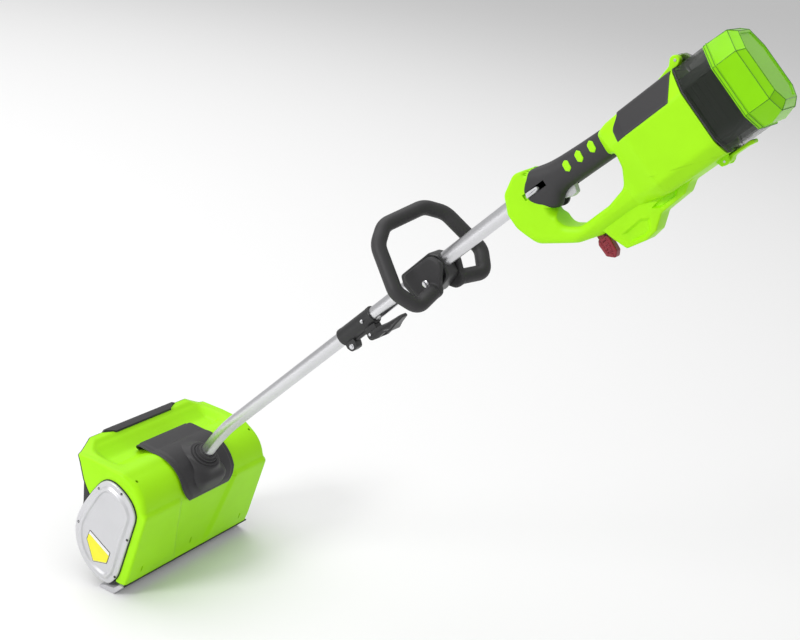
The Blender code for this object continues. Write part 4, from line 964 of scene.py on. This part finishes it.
def build_handle():
    skin = handle_skin()
    count = skin.shape[1]
    for side, name in ((-1, "left"), (1, "right")):
        rows = [[(side * w, n, p) for w, n, p in row] for row in skin]
        flat = [[(side * 0.15, n, p) for w, n, p in row] for row in (skin[-1], skin[0])]
        shell = piece("handle_shell_" + name, *through(rows + flat, loop=True), "green_plastic",
            "upper_pole", replaces=("handle_%s_half" % name,), weighted=False)
        bay = octagon(40.5, -3, -18, -99, -103, 9.5, 4)
        tools = [(*through([level(bay, 1062), level(bay, 1160)]), POLE),
            box_tool((-19, 19), (-94, -26), (1030, 1064)), box_tool((-7.4, 7.4), (-60, -8),
            (899, 946)), box_tool((-8, 8), (-140, -94.4), (922.4, 933.6)),
            box_tool((-9, 9), (-16, 3), (893, 1040)), box_tool((-9.4, 9.4), (-140, -108.6),
            (1112, 1150))]
        if side < 0:
            tools.append(box_tool((-40, -20), (-8.1, 0.7), (874, 912)))
        cut(shell, tools)
        crisp(shell.data, 40)


def build_fin():
    """The block under the housing that holds the key, with sunk facets on both sides."""
    outline = fillet([(-96, 938, 0), (-116, 944, 3), (-137.5, 953, 4), (-143.5, 982, 5),
        (-141, 1000, 4), (-126, 1020, 8), (-123.5, 1060, 4), (-115, 1073, 6), (-108, 1120, 3),
        (-96, 1124, 0)])
    fin = piece("key_fin", *plate(resample(outline, 200), -17.2, 17.2, 2.4, 4), "green_plastic",
        "upper_pole", weighted=False, sharp=40)
    tools = [box_tool((-8, 8), (-140, -94.4), (922.4, 933.6)),
        box_tool((-9.4, 9.4), (-140, -100), (1112, 1150))]
    for side in (-1, 1):
        for window in ([(-119, 958), (-134, 962), (-138.5, 984), (-136, 996), (-122, 1004),
                (-116, 992)], [(-113.5, 1012), (-119.5, 1022), (-118.5, 1050), (-113, 1056),
                (-109.5, 1030)]):
            middle = np.mean(window, axis=0)
            rings = []
            for x, grow in ((14, 0.72), (20, 1.25)):
                rings.append([(side * x, *(middle + (np.array(point) - middle) * grow))
                    for point in window])
            tools.append((*through(rings), POLE))
    cut(fin, tools)
    crisp(fin.data, 35)


def build_grip():
    heights = np.concatenate([[878, 878.8, 880, 882], np.arange(884.5, 1018.1, 2.5)])
    table = np.array([sleeve_station(p) for p in heights])
    for _ in range(2):
        table[3:-1] = 0.5 * table[3:-1] + 0.25 * (table[2:-2] + table[4:])
    rings = []
    for p, (half, top, low, power) in zip(heights, table):
        x, n = superellipse(half, top, low, power, 96)
        rings.append(list(zip(x, n, [p] * 96)))
    sleeve = piece("soft_grip", *through(rings), "grip_rubber", "upper_pole",
        replaces=("grip_sleeve",), weighted=False)
    cut(sleeve, [box_tool((-7, 7), (-60, -14), (901, 944)),
        box_tool((-40, -20), (-7.9, 0.6), (870, 911))])
    crisp(sleeve.data, 45)
    for side, which in ((-1, "left"), (1, "right")):
        for number, p in enumerate((949.1, 970.5, 992.4), 1):
            half = sleeve_station(p)[0]
            corners = [(8.3, 0.6, 1.2), (4, 5.2, 2.2), (-6.4, 4.6, 2.2), (-9.6, -0.4, 1.2),
                (-5.6, -5, 2.2), (4.6, -4.6, 2.2)]
            outline = resample(fillet(corners, 4), 60)
            rings = []
            for d, lift in ((0, -3), (0, 0.25), (0.25, 0.75), (0.8, 1.05), (2, 1.15)):
                ring = []
                for n, q in inset(outline, d):
                    bow = half * (1 - (1 - min(1, abs(n - 2.5 + 10) / 21.5) ** 2.7) ** (1 / 2.7))
                    ring.append((side * (half - bow + lift), n - 2.5, p + q))
                rings.append(ring)
            piece("grip_hexagon_%s_%d" % (which, number), *through(rings), "green_plastic",
                "upper_pole", sharp=50)


def build_pad():
    """The dark pad over the housing's top and two upper bevels."""
    columns, rows = 61, 56
    verts = []
    for i in range(rows):
        v = i / (rows - 1)
        for k in range(columns):
            u = -1 + 2 * k / (columns - 1)
            side = math.copysign(1, u)
            across = abs(u)
            if across > PAD_FLAT:
                n = 9.6 - 32.4 * (across - PAD_FLAT) / (1 - PAD_FLAT)
            else:
                n = 10
            drop = np.clip((9.6 - n) / 32.4, 0, 1)
            start = 1049 - 15 * float(step(drop, 0, 0.55))
            end = 1136 - 18 * drop
            p = start + (end - start) * v
            edge = min((1 - across) * 75, (p - start) + 0.3, (end - p) + 0.3)
            lift = 0.85 * math.sqrt(max(0, 1 - (1 - min(1, edge / 2.2)) ** 2)) + 0.15
            width = float(half_width(np.array(n), np.array(p)))
            if across > PAD_FLAT:
                place = (side * (width + lift * 0.85), n + lift * 0.53, p)
            else:
                place = (side * (width + 0.2) * across / PAD_FLAT, n + lift, p)
            verts.append(place)
    faces = grid(rows, columns, flip=True)
    pad = piece("top_pad_skin", verts, faces, "dark_plastic", "upper_pole", replaces=("top_pad",),
        weighted=False, sharp=60, flip_check=False)
    middle = pad.data.polygons[len(faces) // 2]
    if middle.normal.dot(POLE.to_3x3() @ Vector((0, 1, 0))) < 0:
        pad.data.flip_normals()
    solid(pad, 1.6)
    crisp(pad.data, 60)


def build_controls():
    trigger = fillet([(-10, 901, 3), (-24, 902.5, 4), (-31, 905.5, 3), (-35, 917, 14),
        (-39.2, 927, 4), (-38, 935, 3), (-24, 939.5, 4), (-10, 938, 2)])
    piece("trigger_lever", *plate(resample(trigger, 120), -6.6, 6.6, 1.8, 4), "light_grey_plastic",
        "trigger_lever", replaces=("trigger",), sharp=40)
    slider = fillet([(-7.2, 878, 1), (0, 880.5, 2), (-1.2, 899, 2.4), (-5.6, 901, 2.2),
        (-7.4, 894, 2)])
    piece("lock_slider_cap", *plate(resample(slider, 70), -27.4, -20.8, 1.5, 4,
        detail=((1.2, 0.2),)), "silver_cover", "lock_slider", replaces=("lock_off_slider",),
        sharp=45)
    stem = plate(resample(fillet([(-94.8, 923.2, 1), (-94.8, 932.8, 1), (-107, 932.8, 0.5),
        (-107, 923.2, 0.5)], 3), 50), -7.2, 7.2, 0.8)
    grip = plate(resample(fillet([(-106, 921.5, 2), (-106.4, 935.5, 2.5), (-113, 937.6, 3),
        (-131.5, 935.8, 2.5), (-138.8, 929, 3), (-130, 918.8, 3), (-112, 918.2, 3)]), 110), -7.4,
        7.4, 1.8, 3, detail=((2.4, 0), (3.4, 0.9)))
    parts = [stem, grip]
    for n in (-116.5, -121, -125.5, -130):
        for side in (-1, 1):
            bar = fillet([(n - 1, 922.5, 0.9), (n - 1, 931.5, 0.9), (n + 1, 931.5, 0.9),
                (n + 1, 922.5, 0.9)], 4)
            ends = sorted((side * 5.8, side * 7.35))
            parts.append(plate(resample(bar, 36), ends[0], ends[1], 0.5, 2))
    piece("pull_key", *merge(*parts), "red_plastic", "key", replaces=("safety_key",), sharp=40)


# ------------------------------------------------------------------ battery and hood

def octagon(half, top, side_top, side_low, low, inset_top, inset_low, radius=2):
    corners = [(-half + inset_top, top), (half - inset_top, top), (half, side_top),
        (half, side_low), (half - inset_low, low), (-half + inset_low, low), (-half, side_low),
        (-half, side_top)]
    return fillet([(a, b, radius) for a, b in corners], 4)


def hood_section(grow, low=0, radius=2.2):
    return octagon(47 + grow, 9 + grow, -22, -92, -113 - grow - low, 20 + 0.4 * grow,
        18 + 0.4 * grow, radius)


def level(outline, p):
    return [(a, b, p) for a, b in outline]


def narrow(outline, share):
    """Draw an outline of the hood together about its middle."""
    return [(a * share, -52 + (b + 52) * share) for a, b in outline]


def build_hood():
    rim, wall = hood_section(1.4), hood_section(0)
    inner = hood_section(-2.4, radius=1.2)
    skirt = through([level(rim, 1139.6), level(hood_section(1.6), 1140.4),
        level(hood_section(1.6), 1144.6), level(rim, 1145.4), level(wall, 1146.4),
        level(wall, 1185.6), level(hood_section(-0.4), 1186), level(inner, 1186),
        level(inner, 1139.6)], loop=True)
    piece("hood_skirt", *skirt, "smoked_clear", "hood", replaces=("battery_hood",), sharp=25)
    seam = through([level(hood_section(g), p) for g, p in ((1.75, 1140.6), (1.95, 1141),
        (1.95, 1141.6), (1.75, 1142), (1.3, 1142), (1.3, 1140.6))], loop=True)
    piece("hood_rim_line", *seam, "dark_plastic", "hood", "smoked_clear", sharp=30)
    knuckle = fillet([(7, 1144, 0), (7, 1162, 0), (10.4, 1163, 2), (22, 1156, 5), (25, 1148, 6),
        (20, 1141, 6), (12, 1142, 2)])
    piece("hood_knuckle", *plate(resample(knuckle, 90), -9.9, 9.9, 1.2), "smoked_clear", "hood",
        sharp=40)
    stations = [(0, 0, 1186.3), (0, 0, 1191), (0.6, 1, 1191.6), (0.6, 1, 1193.4), (0, 0.6, 1194),
        (-0.2, 3, 1204), (-1.6, -1, 1222)]
    outer = [level(hood_section(grow, low, 0.8), p) for grow, low, p in stations]
    facing = [narrow(hood_section(-1.6, -1, 0.8), share) for share in (0.86, 0.80)]
    outer += [level(facing[0], 1231.6), level(facing[1], 1231.8), level(facing[1], 1230.2)]
    inside = [level(hood_section(grow - 2.4, low, 0.6), p)
        for grow, low, p in (stations[0], stations[5], stations[6])]
    inside += [level(narrow(hood_section(-4, -1, 0.6), 0.86), 1228)]
    cap = through(inside[::-1] + outer)
    ribs = []
    for x in (-30, 30):
        rib = fillet([(-12, 1214, 1), (-12, 1221, 3), (-22, 1229, 3), (-84, 1229, 3),
            (-95, 1221, 3), (-95, 1214, 1)], 4)
        ribs.append(plate(resample(rib, 140), x - 1.1, x + 1.1, 0.5, 2))
    piece("hood_cap", *merge(cap, *ribs), "green_clear", "hood", replaces=("battery_hood_cap",),
        sharp=25)
    # Painted shade: thin dark green lines laid along the cap's facet edges and its groove, where
    # refraction darkens the clear moulding.
    frames = [(hood_section(0.25, 0, 0), 1188, hood_section(0.9, 1, 0), 1192.4),
        (hood_section(-1.4, -1, 0), 1222.2, None, None), (narrow(hood_section(-1.6, -1, 0), 0.86),
        1231.7, None, None)]
    lines = []
    corner_sets = []
    for outline, p, other, q in frames:
        corner_sets.append(level(outline, p))
        for ring in [level(outline, p)] + ([level(other, q)] if other else []):
            dense = resample(ring, 160)
            dense = np.concatenate([dense, dense[:2]])
            lines.append(sweep(dense, HOOD_SHADE_LINE, 8, side=UP))
    for first, last in zip(corner_sets[:-1], corner_sets[1:]):
        for a, b in zip(first, last):
            lines.append(sweep([a, b], HOOD_SHADE_LINE, 8, side=(0.2, 0.3, 0.9)))
    piece("hood_cap_shade_lines", *merge(*lines), "hood_edge", "hood", "green_clear")
    for low, high, name in ((-22, -10.3, "left"), (10.3, 22, "right")):
        ear = fillet([(6, 1112, 0), (11, 1112, 2), (17, 1137, 6), (24.8, 1144, 5),
            (24.6, 1152, 5.5), (16, 1155, 5), (11, 1148, 4), (10, 1138.4, 0), (6, 1137.8, 0)])
        piece("hinge_ear_" + name, *plate(resample(ear, 100), low, high, 1.6), "green_plastic",
            "upper_pole", sharp=40)


def build_battery():
    sections = []
    for half, top, low, p in ((33, 40, -45, 0), (35, 42, -47, 0.4), (37, 44, -49, 2.4),
            (37, 44, -49, 30), (36, 43, -48, 30.8), (36, 43, -48, 33.2), (37, 44, -49, 34),
            (37, 44, -49, 94), (36.2, 43.4, -46, 104), (36, 43, -38, 130), (35, 42, -36.5, 133),
            (33, 40, -34.5, 134)):
        outline = octagon(half, top, top - 7.5, low + 4, low, 5.5, 4, 1.6)
        sections.append([(a, b + BATTERY_N, p + BATTERY_P) for a, b in outline])
    pack = piece("battery_case", *through(sections), "black_plastic", "battery",
        replaces=("battery_pack",), sharp=30)
    tools = [box_tool((-8.4, 8.4), (-16, 10), (1178, 1194)),
        box_tool((-15, 15), (-70, -38), (1065, 1082))]
    for p in (1112, 1120, 1128, 1150, 1158, 1166):
        for side in (-1, 1):
            x = sorted((side * 35.8, side * 39))
            tools.append(box_tool(x, (-84, -22), (p, p + 3)))
    cut(pack, tools)
    crisp(pack.data, 30)
    button = resample(fillet([(-8, 1178.4, 2), (8, 1178.4, 2), (8, 1193.6, 2), (-8, 1193.6, 2)],
        4), 60)
    rings = []
    for d, n in ((0, -11.4), (0, -5.6), (0.4, -4.9), (1.2, -4.6), (2.2, -4.6), (2.8, -5.2),
            (4, -5.3)):
        rings.append([(a, n, b) for a, b in inset(button, d)])
    piece("battery_button_cap", *through(rings), "red_plastic", "battery_button",
        replaces=("battery_release_button",), sharp=45)


def build_latch():
    arm = fillet([(-115.2, 1115, 3), (-115.4, 1164, 1.5), (-117.4, 1168, 1.5), (-121.6, 1167, 2),
        (-119.6, 1156, 8), (-119.2, 1136, 8), (-122.6, 1130, 4), (-122.6, 1115, 3)])
    piece("latch_arm", *plate(resample(arm, 130), -8.8, 8.8, 1.3), "green_plastic", "latch",
        replaces=("hood_latch",), sharp=40)
    for low, high, name in ((-13.6, -9.4, "left"), (9.4, 13.6, "right")):
        lug = fillet([(-112, 1114, 0), (-112, 1134, 0), (-122, 1130.5, 4), (-124.6, 1124, 4),
            (-121, 1117, 4)])
        piece("latch_lug_" + name, *plate(resample(lug, 60), low, high, 0.9), "green_plastic",
            "upper_pole", sharp=40)


# ------------------------------------------------------------------ studio

def staged(name, data):
    """An object of the studio, which is no part of the model."""
    obj = bpy.data.objects.new(name, data)
    bpy.context.scene.collection.objects.link(obj)
    return obj


def build_studio():
    made = bpy.data.meshes.new("studio_floor")
    made.from_pydata([(-30, -30, -0.0005), (30, -30, -0.0005), (30, 30, -0.0005),
        (-30, 30, -0.0005)], [], [(0, 1, 2, 3)])
    look = bpy.data.materials.new("pale_floor")
    look.use_nodes = True
    shader = look.node_tree.nodes["Principled BSDF"]
    shader.inputs["Base Color"].default_value = (0.90, 0.90, 0.90, 1)
    shader.inputs["Roughness"].default_value = 0.9
    made.materials.append(look)
    staged("studio_floor", made)

    world = bpy.data.worlds.new("studio_world")
    world.use_nodes = True
    world.node_tree.nodes["Background"].inputs["Color"].default_value = (1, 1, 1, 1)
    world.node_tree.nodes["Background"].inputs["Strength"].default_value = 0.55
    bpy.context.scene.world = world
    bpy.context.scene.view_settings.view_transform = "Standard"

    middle = Vector((0, 0.36, 0.5))
    for name, place, size, power in (("key_light", (-3.4, 1.2, 2.4), 1.2, 72),
            ("top_light", (0.6, 2.6, 5.5), 7, 240), ("fill_light", (-3, -2.4, 2.4), 2.6, 3)):
        data = bpy.data.lights.new(name, "AREA")
        data.size = size
        data.energy = power
        lamp = staged(name, data)
        lamp.location = place
        lamp.rotation_euler = (middle - Vector(place)).to_track_quat("-Z", "Y").to_euler()

    data = bpy.data.cameras.new("photo_camera")
    data.lens = 62.41
    data.sensor_width = 36
    camera = staged("photo_camera", data)
    right, up = Vector((0.50700, -0.84807, 0.15406)), Vector((0.21198, 0.29592, 0.93140))
    back = right.cross(up)
    turn = Matrix((right, up, back)).transposed().to_4x4()
    camera.matrix_world = Matrix.Translation((-1.6910, -1.2487, 1.2092)) @ turn
    bpy.context.scene.camera = camera


for build in (dress_cad_nodes, build_shell, build_side_plates, build_lip, build_end_cover,
        build_label, build_saddle, build_rotor, build_wear_bar, build_pipes, build_coupler,
        build_bail, build_handle, build_fin, build_grip, build_pad, build_controls, build_hood,
        build_battery, build_latch):
    build()
build_studio()
